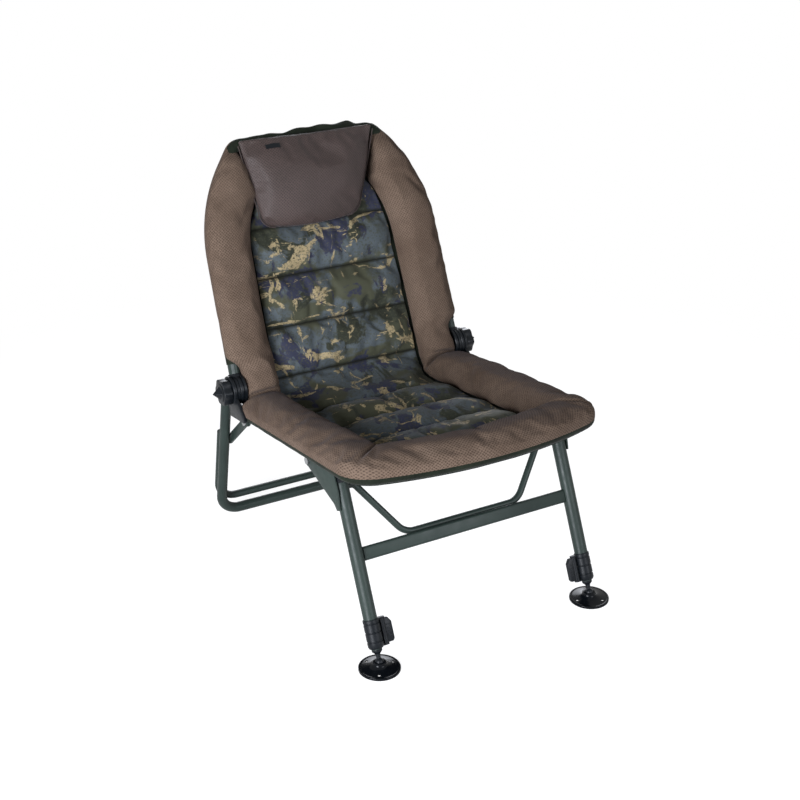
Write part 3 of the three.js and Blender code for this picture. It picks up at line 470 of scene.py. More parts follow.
def turned(profile, place=(0, 0, 0), along="Z", segments=56):
    """A part turned on a lathe: its profile of (radius, level) spun round an axis."""
    bm = bmesh.new()
    line = [bm.verts.new((radius, 0, level)) for radius, level in profile]
    for here, there in zip(line, line[1:]):
        bm.edges.new((here, there))
    bmesh.ops.spin(
        bm,
        geom=bm.verts[:] + bm.edges[:],
        cent=(0, 0, 0),
        axis=(0, 0, 1),
        angle=math.tau,
        steps=segments,
        use_merge=True,
    )
    bmesh.ops.remove_doubles(bm, verts=bm.verts, dist=0.000001)
    bmesh.ops.recalc_face_normals(bm, faces=bm.faces)
    if along == "X":
        bm.transform(Matrix.Rotation(math.pi / 2, 4, "Y"))
    bm.transform(Matrix.Translation(place))
    return bm


def leg_tube():
    """The leg's tube, closed at the top and open below for the inner leg."""
    edge = 0.0012
    wall = 0.0015
    profile = [
        (0, leg_top),
        (leg_radius - edge, leg_top),
        (leg_radius, leg_top - edge),
        (leg_radius, leg_start),
        (leg_bore, leg_start),
        (leg_bore, leg_top - wall),
        (0, leg_top - wall),
    ]
    return [turned(profile, (leg_half, 0, 0))]


on_both_sides(
    "leg_tube", leg_tube, leg_space, powder_coat, "front_legs", "frame_coat", "front_leg"
)

gusset_sides = (0.2389, 0.2419)
gusset_pivot = (-0.293, pivot_level)
gusset_length = 0.064
gusset_round = 0.011
into_seat = seat_space.inverted() @ leg_space


def gusset():
    """The plate from the seat's pivot down the outside of the leg."""

    def on_leg(back, level):
        place = into_seat @ Vector((0, back, level))
        return (place.y, place.z)

    toe = leg_top - gusset_length
    front = on_leg(-leg_radius, leg_top)
    outline = [
        *round_end(gusset_pivot, gusset_round, -math.pi / 2, math.pi / 2),
        (front[0], pivot_level + gusset_round),
        front,
        on_leg(-leg_radius, leg_top - gusset_length / 2),
        on_leg(-leg_radius / 2, toe),
        on_leg(leg_radius / 2, toe),
        on_leg(leg_radius, toe + leg_radius),
    ]
    return [plate(outline, *gusset_sides, 0.0006)]


on_both_sides(
    "gusset_plate", gusset, seat_space, powder_coat, "front_legs", "frame_coat", "leg_gusset"
)

bar_half = leg_half - leg_radius - 0.0004
bar_round = bar_height / 2 - bar_edge
bar_outline = round_end((0, bar_level + bar_round), bar_edge, 0, math.pi)
bar_outline += round_end((0, bar_level - bar_round), bar_edge, math.pi, math.tau)
bar = plate(bar_outline, -bar_half, bar_half, 0.0005)
bar.transform(leg_space)
bar_mesh = meshed("bar", bar)
finished("cross_bar", bar_mesh, powder_coat, "front_legs", "frame_coat", "front_crossbar")
brace_points = [
    (leg_half - leg_radius / 2, brace_top),
    (brace_top_half, brace_top),
    (brace_bar_half, brace_level),
]
brace_corners = [
    leg_space @ Vector((side * x, brace_plane, level))
    for side, places in ((1, brace_points), (-1, brace_points[::-1]))
    for x, level in places
]
brace_bends = [brace_end_bend, brace_bend, brace_bend, brace_end_bend]
brace_mesh = tube_mesh("brace", bent(brace_corners, brace_bends), brace_radius)
finished("brace_tube", brace_mesh, powder_coat, "front_legs", "frame_coat", "front_brace")

# Leg clamps. Each collar is moulded in black glass-filled nylon, with ringed grooves, a tapered
# nose and two ears whose pin carries a cam lever; the fine spark-eroded skin is satin.


def moulded(name, colour, roughness, grain_size, grain_depth, gloss):
    """Black moulded plastic with a fine even grain."""
    material, tree = blank(name)
    spot = add(tree, "ShaderNodeTexCoord").outputs["Object"]
    grain = mottle(tree, spot, 1 / grain_size, 3)
    patch = mottle(tree, spot, 45, 5)
    surface(
        tree,
        {
            "Base Color": linear(colour),
            "Roughness": ranged(tree, patch, 0.3, 0.7, roughness - 0.04, roughness + 0.06),
            "IOR": 1.53,
            "Specular IOR Level": gloss,
            "Normal": bumped(tree, grain, 0.3, grain_depth),
        },
    )
    return material


black_nylon = moulded("black_nylon", "#0c0f12", 0.36, 0.0012, 0.0003, 0.12)
clamp_low, clamp_high = 0.025, 0.077
clamp_radius = 0.0145
clamp_bore = 0.010
clamp_seat = 0.0128
lever_pivot = 0.0205
lever_height = 0.044
lever_low = (clamp_low + clamp_high) / 2 - lever_height / 2
lever_high = (clamp_low + clamp_high) / 2 + lever_height / 2
lever_reach = 0.022
lever_barrel = 0.0055
lever_bore = 0.0025
ear_thick = 0.003


def groove(level):
    """The outline of a ringed groove in the collar."""
    deep = clamp_radius - 0.001
    steps = ((clamp_radius, 0), (deep, 0.001), (deep, 0.002), (clamp_radius, 0.003))
    return [(radius, level + rise) for radius, rise in steps]


def collar():
    """The collar's sleeve, the two ears on its inner side and their pin."""
    profile = [
        (clamp_bore, clamp_low),
        (0.0122, clamp_low),
        (0.0130, clamp_low + 0.0009),
        (clamp_radius, clamp_low + 0.0045),
        *groove(leg_start),
        *groove(0.0525),
        *groove(0.068),
        (clamp_radius, clamp_high - 0.0008),
        (clamp_radius - 0.0006, clamp_high),
        (clamp_seat, clamp_high),
        (clamp_seat, leg_start - gap),
        (clamp_bore, leg_start - gap),
        (clamp_bore, clamp_low),
    ]
    body = turned(profile, (leg_half, 0, 0))
    ears = []
    for low in (lever_low - 0.0033, lever_high + gap):
        outline = [(leg_half - clamp_seat, lever_barrel), (leg_half - clamp_seat, -lever_barrel)]
        tip = (leg_half - lever_pivot, 0)
        outline += round_end(tip, lever_barrel, 1.5 * math.pi, 0.5 * math.pi)
        ears.append(plate(outline, low, low + ear_thick, 0.0005, standing=False))
    pin = [(0, 0), (0.0022, 0), (0.0022, lever_height + 0.004), (0, lever_height + 0.004)]
    pin_low = lever_low - 0.002
    return [body, *ears, turned(pin, (leg_half - lever_pivot, 0, pin_low), segments=20)]


on_both_sides(
    "clamp_collar", collar, leg_space, black_nylon, "front_legs", "black_plastic", "leg_collar"
)


flat_onto_front = Matrix(((1, 0, 0, 0), (0, 0, -1, 0), (0, 1, 0, 0), (0, 0, 0, 1)))
grip_ribs = 4
rib_pitch = 0.0065
rib_height = 0.002


def lever():
    """The cam lever: a barrel on the pin, a flat handle and ribs to grip."""
    low, high = lever_low, lever_high
    root = leg_half - lever_pivot
    tip = root + lever_barrel - lever_reach
    profile = [(lever_bore, low), (lever_barrel, low), (lever_barrel, high), (lever_bore, high)]
    barrel = turned([*profile, profile[0]], (root, 0, 0), segments=32)
    outline = [
        (root, low),
        (tip + 0.003, low),
        (tip, low + 0.004),
        (tip, high - 0.009),
        (tip + 0.006, high),
        (root, high),
    ]
    parts = [plate(outline, -0.004, 0.004, 0.0012, standing=False, steps=3)]
    start, end = tip + 0.0015, tip + 0.0115
    for k in range(grip_ribs):
        level = low + 0.011 + rib_pitch * k
        above = level + rib_height
        rib = [(start, level), (end, level), (end, above), (start, above)]
        parts.append(plate(rib, 0.0035, 0.0049, 0.0004, standing=False))
    for part in parts:
        part.transform(flat_onto_front)
    return [barrel, *parts]


on_both_sides(
    "clamp_lever", lever, leg_space, black_nylon, "lever_{}", "black_plastic", "cam_lever"
)

# Mud feet. A stud with a ball end plugs into each inner leg, and the ball snaps into a dished
# disc with a raised rim and drain holes, moulded in black nylon and polished in the mould.
stud_top = 0.023
ball_radius = 0.008
neck_radius = 0.004


def stud():
    """The stud that plugs into the inner leg, with its ball below."""
    ball = round_end((0, 0), ball_radius, -math.pi / 2, math.acos(neck_radius / ball_radius), 14)
    ball[0] = (0, -ball_radius)
    upper = [
        (neck_radius, 0.0100),
        (0.0047, 0.0150),
        (0.0068, 0.0172),
        (0.0090, 0.0190),
        (0.0095, 0.0200),
        (0.0095, stud_top),
        (0, stud_top),
    ]
    return [turned([*ball, *upper], (leg_half, 0, 0), segments=40)]


on_both_sides(
    "foot_stud", stud, leg_space, black_nylon, "inner_{}", "black_plastic", "ball_stud"
)

gloss_nylon = moulded("polished_nylon", "#07090c", 0.14, 0.006, 0.0002, 0.08)
foot_radius = 0.0375
drain_circle = 0.027
drain_radius = 0.003
socket_radius = 0.0083
foot_space = Matrix.Translation((0, leg_foot.y, leg_foot.z))


def foot():
    """The disc: its under side, its dished top and its socket, with the drain holes cut out."""
    under = [(0, -0.011), (0.0285, -0.011), (0.0315, -0.014), (0.0370, -0.014)]
    under.append((foot_radius, -0.0135))
    rim = [(foot_radius, -0.0104), (0.0371, -0.0096), (0.0362, -0.0091), (0.0350, -0.0090)]
    rim += [(0.0340, -0.0094), (0.0325, -0.0093)]
    dish = [(0.0290, -0.0086), (0.0245, -0.0077), (0.0200, -0.0066), (0.0165, -0.0054)]
    dish += [(0.0138, -0.0040), (0.0122, -0.0022)]
    collar_top = [(0.0116, 0.0000), (0.0112, 0.0018), (0.0104, 0.0023), (0.0085, 0.0024)]
    turns = [math.radians(14 - 104 * k / 12) for k in range(12)]
    socket = [(socket_radius * math.cos(t), socket_radius * math.sin(t)) for t in turns]
    profile = [*under, *rim, *dish, *collar_top, *socket, (0, -socket_radius)]
    holder_mesh = meshed("disc", turned(profile, (leg_half, 0, 0), segments=72))
    tools = bmesh.new()
    for k in range(3):
        turn = math.tau * (k + 0.5) / 3
        place = (leg_half + drain_circle * math.cos(turn), drain_circle * math.sin(turn), -0.010)
        bmesh.ops.create_cone(
            tools,
            cap_ends=True,
            segments=24,
            radius1=drain_radius,
            radius2=drain_radius,
            depth=0.02,
            matrix=Matrix.Translation(place),
        )
    tool = bpy.data.objects.new("drains", meshed("drains", tools))
    bpy.context.scene.collection.objects.link(tool)
    holder = bpy.data.objects.new("disc", holder_mesh)
    drilled = holder.modifiers.new("drains", "BOOLEAN")
    drilled.operation = "DIFFERENCE"
    drilled.solver = "EXACT"
    drilled.object = tool
    mesh = baked("disc", holder)
    bpy.data.objects.remove(tool)
    bm = bmesh.new()
    bm.from_mesh(mesh)
    return [bm]


on_both_sides("foot_disc", foot, foot_space, gloss_nylon, "foot_{}", "gloss_plastic", "mud_foot")

# Recliner hubs. On each side two grooved nylon discs meet face to face on a bolt: the inner one
# takes the back's tube on its neck, the outer one has an arm under the rail and a saddle for
# the rear leg, and a lobed knob with a four-sided point clamps them.
hub_inner = 0.2363
hub_outer = 0.2507
disc_thick = 0.014
hub_radius = 0.029
bolt_bore = 0.0053
groove_deep = 0.0025
frame_half = 0.246


def hub_disc(start):
    """A disc with chamfered edges, a groove round its rim and a bore for the bolt."""
    chamfer = 0.0012
    middle = disc_thick / 2
    profile = [
        (bolt_bore, 0),
        (hub_radius - chamfer, 0),
        (hub_radius, chamfer),
        (hub_radius, middle - groove_deep / 2),
        (hub_radius - groove_deep, middle - groove_deep / 4),
        (hub_radius - groove_deep, middle + groove_deep / 4),
        (hub_radius, middle + groove_deep / 2),
        (hub_radius, disc_thick - chamfer),
        (hub_radius - chamfer, disc_thick),
        (bolt_bore, disc_thick),
        (bolt_bore, 0),
    ]
    return turned(profile, (start, 0, 0), along="X", segments=72)


def back_half_hub():
    """The back's disc, the neck for its tube and the boss below it."""
    neck = [(0, 0.009), (0.0122, 0.009), (0.0125, 0.0297), (0, 0.0297)]
    boss = [(0, 0), (0.0145, 0), (0.0138, 0.006), (0.0125, 0.0075), (0, 0.0075)]
    return [
        hub_disc(hub_inner),
        turned(neck, (frame_half, 0, 0), segments=40),
        turned(boss, (frame_half, 0, hub_radius - 0.0055), segments=40),
    ]


on_both_sides(
    "hub_back_half", back_half_hub, back_space, black_nylon, "back", "black_plastic", "back_hub"
)

arm_sides = (0.2574, 0.2634)
saddle_span = (-0.021, 0.0105)
saddle_thick = 0.005
leg_turn = seat_rise + rear_lean
leg_up = Vector((-math.sin(leg_turn), math.cos(leg_turn)))
leg_across = Vector((leg_up.y, -leg_up.x))


def seat_half_hub():
    """The seat's disc, the arm under the rail and the saddle over the rear leg."""
    arm = [
        (0.0145, -0.0232),
        (0.008, rail_under),
        (-0.056, rail_under),
        (-0.0605, rail_under + 0.002),
        (-0.062, rail_under + 0.006),
        (-0.060, rail_under + 0.0154),
        (-0.0261, -0.0087),
    ]
    top = Vector(rear_pivot)
    rear, front = saddle_span
    corners = ((rear, gap), (front, gap), (front, saddle_thick), (rear, saddle_thick))
    saddle = [
        tuple(top + leg_across * side + leg_up * (rise + gap)) for side, rise in corners
    ]
    return [
        hub_disc(hub_outer),
        plate(arm, *arm_sides, 0.0012),
        plate(saddle, hub_outer, hub_outer + disc_thick, 0.001),
    ]


on_both_sides(
    "hub_seat_half", seat_half_hub, seat_space, black_nylon, "seat", "black_plastic", "seat_hub"
)

knob_low = 0.2655
knob_thick = 0.017
knob_point = 0.017
knob_radius = 0.025
lobes = 6


def knob():
    """The lobed wheel of the knob, the ring on its face and the four-sided point."""
    rim = []
    for k in range(120):
        turn = math.tau * k / 120
        radius = knob_radius * (1 + 0.07 * math.cos(lobes * turn))
        rim.append((radius * math.cos(turn), radius * math.sin(turn)))
    wheel = plate(rim, knob_low, knob_low + knob_thick, 0.0014, steps=3)
    collar_ring = [(0, 0), (0.0185, 0), (0.0185, 0.0010), (0.0170, 0.0016), (0, 0.0016)]
    cap = turned(collar_ring, (knob_low + knob_thick - 0.0002, 0, 0), along="X", segments=56)
    point = bmesh.new()
    point_height = knob_point - 0.001
    middle = (knob_low + knob_thick + point_height / 2, 0, 0)
    bmesh.ops.create_cone(
        point,
        cap_ends=True,
        segments=4,
        radius1=0.0150,
        radius2=0.0006,
        depth=point_height,
        matrix=Matrix.Translation(middle) @ Matrix.Rotation(math.pi / 2, 4, "Y"),
    )
    softened(point, 0.0005)
    return [wheel, cap, point]


on_both_sides(
    "hub_knob", knob, seat_space, black_nylon, "knob_{}", "black_plastic", "clamp_knob"
)

zinc, tree = blank("zinc_plated_steel")
spot = add(tree, "ShaderNodeTexCoord").outputs["Object"]
bloom = mottle(tree, spot, 300, 5)
surface(
    tree,
    {
        "Base Color": two_tone(tree, bloom, "#85888a", "#a8aaab"),
        "Metallic": 1,
        "Roughness": ranged(tree, bloom, 0, 1, 0.24, 0.44),
    },
)
repainted(black_nylon, "leg_catch_left", "leg_catch_right")
for name in ("hub_bolt", "front_leg_pin", "strut_pin"):
    repainted(zinc, f"{name}_left", f"{name}_right")

# Cover. All the soft pieces follow one surface, the front of the slings: up the seat from the
# front, round a bend at the crease under the hinge and up the back.
seat_base = -0.0545
back_base = -0.0125
crease_bend = 0.060
corner_radius = 0.058
bow_radius = 0.620
seat_length = 0.540
back_start = 0.030
shoulder_height = 0.350
shoulder_half = 0.238
shoulder_radius = 0.300
top_half = 0.152
back_length = 0.467

scale = seat_up.y * back_front.z - seat_up.z * back_front.y
crease = Vector(
    (
        0,
        (seat_base * back_front.z - seat_up.z * back_base) / scale,
        (seat_up.y * back_base - seat_base * back_front.y) / scale,
    )
)
crease_reach = crease.dot(seat_forward)
crease_height = crease.dot(back_up)
cover_turn = seat_up.angle(back_front)
crease_half = crease_bend * math.tan(cover_turn / 2)
crease_centre = hub + crease + back_up * crease_half + back_front * crease_bend


def cover(along, side, proud):
    """A place over the slings: along is 0 at the crease, below 0 on the seat."""
    if along >= crease_half:
        place, normal = hub + crease + back_up * along, back_front
    elif along <= -crease_half:
        place, normal = hub + crease - seat_forward * along, seat_up
    else:
        share = (along / crease_half + 1) / 2
        normal = Matrix.Rotation(cover_turn * share, 3, "X") @ seat_up
        place = crease_centre - normal * crease_bend
    return place + normal * proud + across * side


def on_seat(reach):
    """The place along the cover of a distance along the seat from the hub."""
    return crease_reach - reach


def on_back(height):
    """The place along the cover of a height up the back from the hub."""
    return height - crease_height


taper_turn = math.atan2(frame_half - shoulder_half, shoulder_height - back_start)
shoulder_turn = math.atan2(shoulder_half - top_half, back_length - shoulder_height)


def taper_line(height, inset):
    """Half the width between the sides of the back, below the shoulder's bend."""
    return frame_half - (height - back_start) * math.tan(taper_turn) - inset / math.cos(taper_turn)


def slope_line(height, inset):
    """Half the width between the sides of the back, above the shoulder's bend."""
    flare = (back_length - height) * math.tan(shoulder_turn)
    return top_half + flare - inset / math.cos(shoulder_turn)


shoulder_slope = math.tan(shoulder_turn) - math.tan(taper_turn)
shoulder_level = (slope_line(0, shoulder_radius) - taper_line(0, shoulder_radius)) / shoulder_slope
shoulder_centre = taper_line(shoulder_level, shoulder_radius)


def back_half(height, inset):
    """Half the width of the back frame at a height, drawn in by an inset."""
    radius = shoulder_radius - inset
    rise = height - shoulder_level
    if rise <= radius * math.sin(taper_turn):
        return taper_line(height, inset)
    if rise >= radius * math.sin(shoulder_turn):
        return slope_line(height, inset)
    return shoulder_centre + math.sqrt(radius**2 - rise**2)


def seat_line(inset, corner, steps):
    """Half the seat's outline in (side, reach), from the middle of the front to the corner."""
    half, bow = frame_half - inset, bow_radius - inset
    middle = seat_length - bow_radius
    centre = middle + math.sqrt((bow - corner) ** 2 - (half - corner) ** 2)
    meet = math.atan2(centre - middle, half - corner)
    front_steps, corner_steps = steps
    line = []
    for k in range(front_steps):
        turn = math.pi / 2 + (meet - math.pi / 2) * k / front_steps
        line.append((bow * math.cos(turn), middle + bow * math.sin(turn)))
    for k in range(corner_steps + 1):
        turn = meet * (1 - k / corner_steps)
        line.append((half - corner + corner * math.cos(turn), centre + corner * math.sin(turn)))
    return line

# Quilted panel. Printed polyester over fibre wadding, sewn through to the slings in straight
# cross channels. It runs from under the head pillow down over the hinge to the front bolster.


def ridge(distance, width):
    """A bell that is 1 at distance 0."""
    return math.exp(-((distance / width) ** 2))


def run_along(points):
    """The length along a line up to each of its points."""
    run = [0]
    for here, there in zip(points, points[1:]):
        run.append(run[-1] + (there - here).length)
    return run


def draped(name, across_steps, along_steps, place, held=None, wrapped=False, crown=0.5):
    """A cloth grid laid out by a place function. Its UV is in metres along the cloth, from
    the crown line, and each point keeps how firmly it is sewn down."""
    bm = bmesh.new()
    bmesh.ops.create_grid(bm, x_segments=across_steps, y_segments=along_steps, size=0.5)
    rows = []
    for row in range(along_steps + 1):
        v = row / along_steps
        rows.append([place(column / across_steps, v) for column in range(across_steps + 1)])
    middle = round(across_steps * crown)
    run = run_along([row[middle] for row in rows])
    arcs = []
    for row in rows:
        arc = run_along(row)
        arcs.append([length - arc[middle] for length in arc])
    sewn = bm.verts.layers.float.new("sewn")
    uv = bm.loops.layers.uv.verify()
    spots = {}
    for vert in bm.verts:
        column = round((vert.co.x + 0.5) * across_steps)
        row = round((vert.co.y + 0.5) * along_steps)
        spots[vert] = (column, row)
        vert[sewn] = held(column / across_steps, row / along_steps) if held else 0
    for face in bm.faces:
        for corner in face.loops:
            column, row = spots[corner.vert]
            corner[uv].uv = (arcs[row][column], run[row])
    for vert, (column, row) in spots.items():
        vert.co = rows[row][column]
    if wrapped:
        bmesh.ops.remove_doubles(bm, verts=bm.verts, dist=0.00001)
        bmesh.ops.holes_fill(bm, edges=[edge for edge in bm.edges if edge.is_boundary])
    bmesh.ops.recalc_face_normals(bm, faces=bm.faces)
    return meshed(name, bm)


swell_frames = 16
stuffing_pressure = 2.5


def swollen(mesh, slack, furthest):
    """Swells a stuffed cover with a cloth simulation: its seams stay where they are sewn, the
    rest puffs up and puckers, and no point moves further than the limit."""
    scene = bpy.context.scene
    trial = bpy.data.objects.new("stuffing", mesh.copy())
    scene.collection.objects.link(trial)
    seams = trial.vertex_groups.new(name="seams")
    for vert, sewn in zip(mesh.vertices, mesh.attributes["sewn"].data):
        seams.add([vert.index], sewn.value, "REPLACE")
    stuffing = trial.modifiers.new("stuffing", "CLOTH")
    cloth = stuffing.settings
    cloth.vertex_group_mass = "seams"
    cloth.quality = 4
    cloth.mass = 0.3
    cloth.tension_stiffness = 15
    cloth.compression_stiffness = 15
    cloth.shear_stiffness = 5
    cloth.bending_stiffness = 0.4
    cloth.use_pressure = True
    cloth.uniform_pressure_force = stuffing_pressure
    cloth.shrink_min = -slack
    cloth.effector_weights.gravity = 0
    stuffing.point_cache.frame_start = 1
    stuffing.point_cache.frame_end = swell_frames
    for step in range(1, swell_frames + 1):
        scene.frame_set(step)
    settled = trial.evaluated_get(bpy.context.evaluated_depsgraph_get()).to_mesh()
    for vert, there in zip(mesh.vertices, settled.vertices):
        move = there.co - vert.co
        vert.co += move * min(1, furthest / max(move.length, 1e-9))
    bpy.data.objects.remove(trial)
    scene.frame_set(1)
    return mesh


def refined(mesh):
    """The mesh with one subdivision."""
    holder = bpy.data.objects.new("refined", mesh)
    finer = holder.modifiers.new("finer", "SUBSURF")
    finer.levels = finer.render_levels = 1
    return baked(mesh.name, holder)


seat_seams = [on_seat(reach) for reach in (0.428, 0.316, 0.204, 0.092)]
back_seams = [on_back(height) for height in (0.003, 0.101, 0.200, 0.299)]
bolster_inset = 0.083
panel_front = on_seat(seat_length - bolster_inset)
panel_top = on_back(0.386)
panel_seams = [panel_front, *seat_seams, *back_seams, panel_top]
seam_height = 0.002
crest_height = 0.021
panel_edge = 0.002
inner_bow = bow_radius - bolster_inset
seat_sag = 0.004
back_sag = 0.003

camo, tree = blank("camouflage_polyester")
print_spot = add(tree, "ShaderNodeUVMap").outputs["UV"]


def blotches(size, seed, threshold, softness, stretch=(1, 1), detail=5, warp=0.4):
    """A mask of printed blotches about the size given, from one noise."""
    shift = add(
        tree,
        "ShaderNodeMapping",
        {"Vector": print_spot, "Location": (seed, seed * 2, seed * 3), "Scale": (*stretch, 1)},
    )
    cloud = mottle(tree, shift.outputs["Vector"], 1 / size, detail, 0.55, warp)
    return ranged(tree, cloud, threshold - softness, threshold + softness)


def printed(under, mask, colour):
    """One colour printed over another through a mask."""
    over = linear(colour)
    layer = add(tree, "ShaderNodeMix", {0: mask, 6: under, 7: over}, data_type="RGBA")
    return layer.outputs[2]


slate, olive, dark_olive, navy, tan = "#41474a", "#393a2e", "#282a23", "#292b38", "#83765a"
layer = printed(linear(slate), blotches(0.12, 3.1, 0.52, 0.03, (1, 1.2)), olive)
layer = printed(layer, blotches(0.070, 17.2, 0.56, 0.02, (1, 0.9), 7, 0.6), dark_olive)
layer = printed(layer, blotches(0.070, 7.7, 0.57, 0.01, (1, 0.8), 6), navy)
ragged = blotches(0.0038, 30.3, 0.40, 0.03, (1, 1), 3, 0.5)
for size, seed, threshold, stretch, twist in (
    (0.055, 12.3, 0.600, (0.8, 1.1), 0.8),
    (0.045, 26.1, 0.625, (1.4, 0.6), 1.2),
    (0.034, 21.9, 0.650, (0.5, 1.6), 1.0),
):
    patch = blotches(size, seed, threshold, 0.012, stretch, 9, twist)
    layer = printed(layer, maths(tree, "MULTIPLY", patch, ragged), tan)
speckle_size = 0.0045
speckle = blotches(speckle_size, 5.5, 0.57, 0.03, (1, 1), 2, 0)
speckle_strength = 0.55
layer = printed(layer, maths(tree, "MULTIPLY", speckle, speckle_strength), olive)
thread_pitch = 0.0022
weave_turns = 1 / (thread_pitch * math.tau / 2)


def yarns(tree, place, wander, way):
    """The ridges of the yarns that lie one way in a plain cloth."""
    wave = {"Vector": place, "Scale": weave_turns, "Distortion": wander}
    return add(tree, "ShaderNodeTexWave", wave, bands_direction=way).outputs["Fac"]


weave = maths(tree, "ADD", *(yarns(tree, print_spot, 0.6, way) for way in ("X", "Y")))
# The seams, the panel's edges and its back are printed near-black. This is partly the stitching
# thread and partly painted shade in the seam creases and along the edge beside the bolster.
seam_thread_and_shade = add(tree, "ShaderNodeAttribute", attribute_name="sewn").outputs["Fac"]
surface(
    tree,
    {
        "Base Color": printed(layer, seam_thread_and_shade, "#12130e"),
        "Roughness": 0.6,
        "IOR": 1.5,
        "Specular IOR Level": 0.05,
        "Sheen Weight": 0.06,
        "Sheen Roughness": 0.4,
        "Normal": bumped(tree, weave, 0.3, 0.0005),
    },
)


def sag(along, side):
    """How far the slings sag between the rails, most in the middle of seat and back."""
    width = max(0, 1 - (side / frame_half) ** 2)
    if along < 0:
        return seat_sag * width * math.sin(math.pi * min(1, -along / -panel_front))
    return back_sag * width * math.sin(math.pi * min(1, along / panel_top))


pillow_bottom = 0.296
pillow_top = 0.480
pillow_top_half = 0.152
pillow_bottom_half = 0.104


def pillow_side(height):
    """Half the width of the pillow at a height."""
    share = (height - pillow_bottom) / (pillow_top - pillow_bottom)
    return pillow_bottom_half + (pillow_top_half - pillow_bottom_half) * share


def panel_half(along):
    """Half the width of the quilted panel."""
    if along <= 0:
        return frame_half - bolster_inset
    return back_half(along + crease_height, bolster_inset)


panel_face = 0.78
row_pitch = 0.0055
panel_rows = [panel_front]
for low, high in zip(panel_seams, panel_seams[1:]):
    count = round((high - low) / row_pitch)
    panel_rows += [low + (high - low) * (k + 1) / count for k in range(count)]


def panel_place(u, v):
    """A place on the panel: u runs across its face and back behind it."""
    along = panel_rows[round(v * (len(panel_rows) - 1))]
    half = panel_half(along)
    face = u <= panel_face
    share = 2 * u / panel_face - 1 if face else 1 - 2 * (u - panel_face) / (1 - panel_face)
    side = half * share
    reach = along
    if along < seat_seams[0]:
        bow = on_seat(seat_length - bow_radius + math.sqrt(inner_bow**2 - side**2))
        part = (seat_seams[0] - along) / (seat_seams[0] - panel_front)
        reach = seat_seams[0] + (bow - seat_seams[0]) * part
    if not face:
        return cover(reach, side, panel_edge * abs(share) ** 6 - sag(reach, side))
    for low, high in zip(panel_seams, panel_seams[1:]):
        if along <= high + 1e-9:
            part = (along - low) / (high - low)
            width = high - low
            break
    puff = max(0, math.sin(math.pi * part**0.85)) ** 0.5
    crest = crest_height * (0.72 + 0.28 * min(1, width / 0.1))
    near = min(along - low, high - along)
    spot = Vector((side * 55, reach * 9, 1.7))
    pucker = 0.0022 * ridge(near - 0.012, 0.016) * noise.noise(spot)
    pucker += 0.0012 * noise.noise(Vector((side * 18, reach * 22, 5.0)))
    height = seam_height + (crest - seam_height) * puff + pucker * min(1, near / 0.006)
    drawn = abs(share) ** 6
    height = height * (1 - drawn) + panel_edge * drawn
    return cover(reach, side, height - sag(reach, side))


def panel_sewn(u, v):
    """1 on the panel's seams, its edges and its back, where it is sewn to the sling."""
    if u >= panel_face or u < 0.006 or v in (0, 1):
        return 1
    along = panel_rows[round(v * (len(panel_rows) - 1))]
    return 1 if min(abs(along - seam) for seam in panel_seams) < 1e-6 else 0


panel_mesh = draped(
    "quilting",
    64,
    len(panel_rows) - 1,
    panel_place,
    panel_sewn,
    wrapped=True,
    crown=panel_face / 2,
)
swollen(panel_mesh, slack=0.05, furthest=0.007)
panel = finished(
    "quilted_panel", refined(panel_mesh), camo, None, "pad_cloth", "seat_pad", "back_pad"
)
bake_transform(panel)

# Bolster. One long tube of brown air mesh stuffed with fibre, sewn round the panel: up one side
# of the back, over the hinge where it pinches, round the seat with mitred corners and up again.
# Outside it is drawn over the rail and sewn down on the hem.


def smooth(share):
    """An eased share between 0 and 1."""
    share = min(max(share, 0), 1)
    return share * share * (3 - 2 * share)


hole_pitch = 0.0042


def air_mesh(name, dark_yarn, light_yarn, hole_colour, gloss):
    """Knitted spacer cloth: staggered rows of small holes in a dull fluffy face."""
    material, tree = blank(name)
    mesh_spot = add(tree, "ShaderNodeUVMap").outputs["UV"]
    turns = {"Vector": mesh_spot, "Scale": (1 / hole_pitch, 1 / hole_pitch, 1)}
    turns["Rotation"] = (0, 0, math.radians(45))
    rows = add(tree, "ShaderNodeMapping", turns).outputs["Vector"]
    holes = add(tree, "ShaderNodeTexVoronoi", {"Vector": rows, "Scale": 1, "Randomness": 0.18})
    hole = ranged(tree, holes.outputs["Distance"], 0.14, 0.46)
    yarn = two_tone(tree, mottle(tree, mesh_spot, 14, 6), dark_yarn, light_yarn, 0.3, 0.7)
    mixed = {0: hole, 6: linear(hole_colour), 7: yarn}
    surface(
        tree,
        {
            "Base Color": add(tree, "ShaderNodeMix", mixed, data_type="RGBA").outputs[2],
            "Roughness": 0.55,
            "IOR": 1.5,
            "Specular IOR Level": gloss,
            "Sheen Weight": 0.08,
            "Sheen Roughness": 0.4,
            "Sheen Tint": linear("#c4c2cc"),
            "Normal": bumped(tree, hole, 0.5, 0.0008),
        },
    )
    return material


bolster_mesh_cloth = air_mesh("brown_air_mesh", "#4f4238", "#5e5045", "#392f28", 0.0)
rail_rise = -rail_depth - seat_base
wrap_radius = 0.0130
hub_clear = 0.0112
seat_crown = 0.0480
back_crown = 0.0400
bolster_end = 0.4540
top_corner = 0.030
inner_corner = 0.016
line_steps = (26, 12)
side_steps = 48
back_steps = 60
end_steps = 5
end_turn = math.radians(34)
least_width = 0.004
crown_ease = 0.08
wrap_start = on_back(0.120)
wrap_ease = 0.06
seat_wrap = math.radians(-44)
more_wrap = math.radians(154)
hub_reach, hub_ease = 0.064, 0.026
pinch_share, pinch_broad = 0.16, 0.030
hump_height, hump_place, hump_broad = 0.010, 0.056, 0.026
mitre_deep, mitre_broad = 0.0055, 0.0045

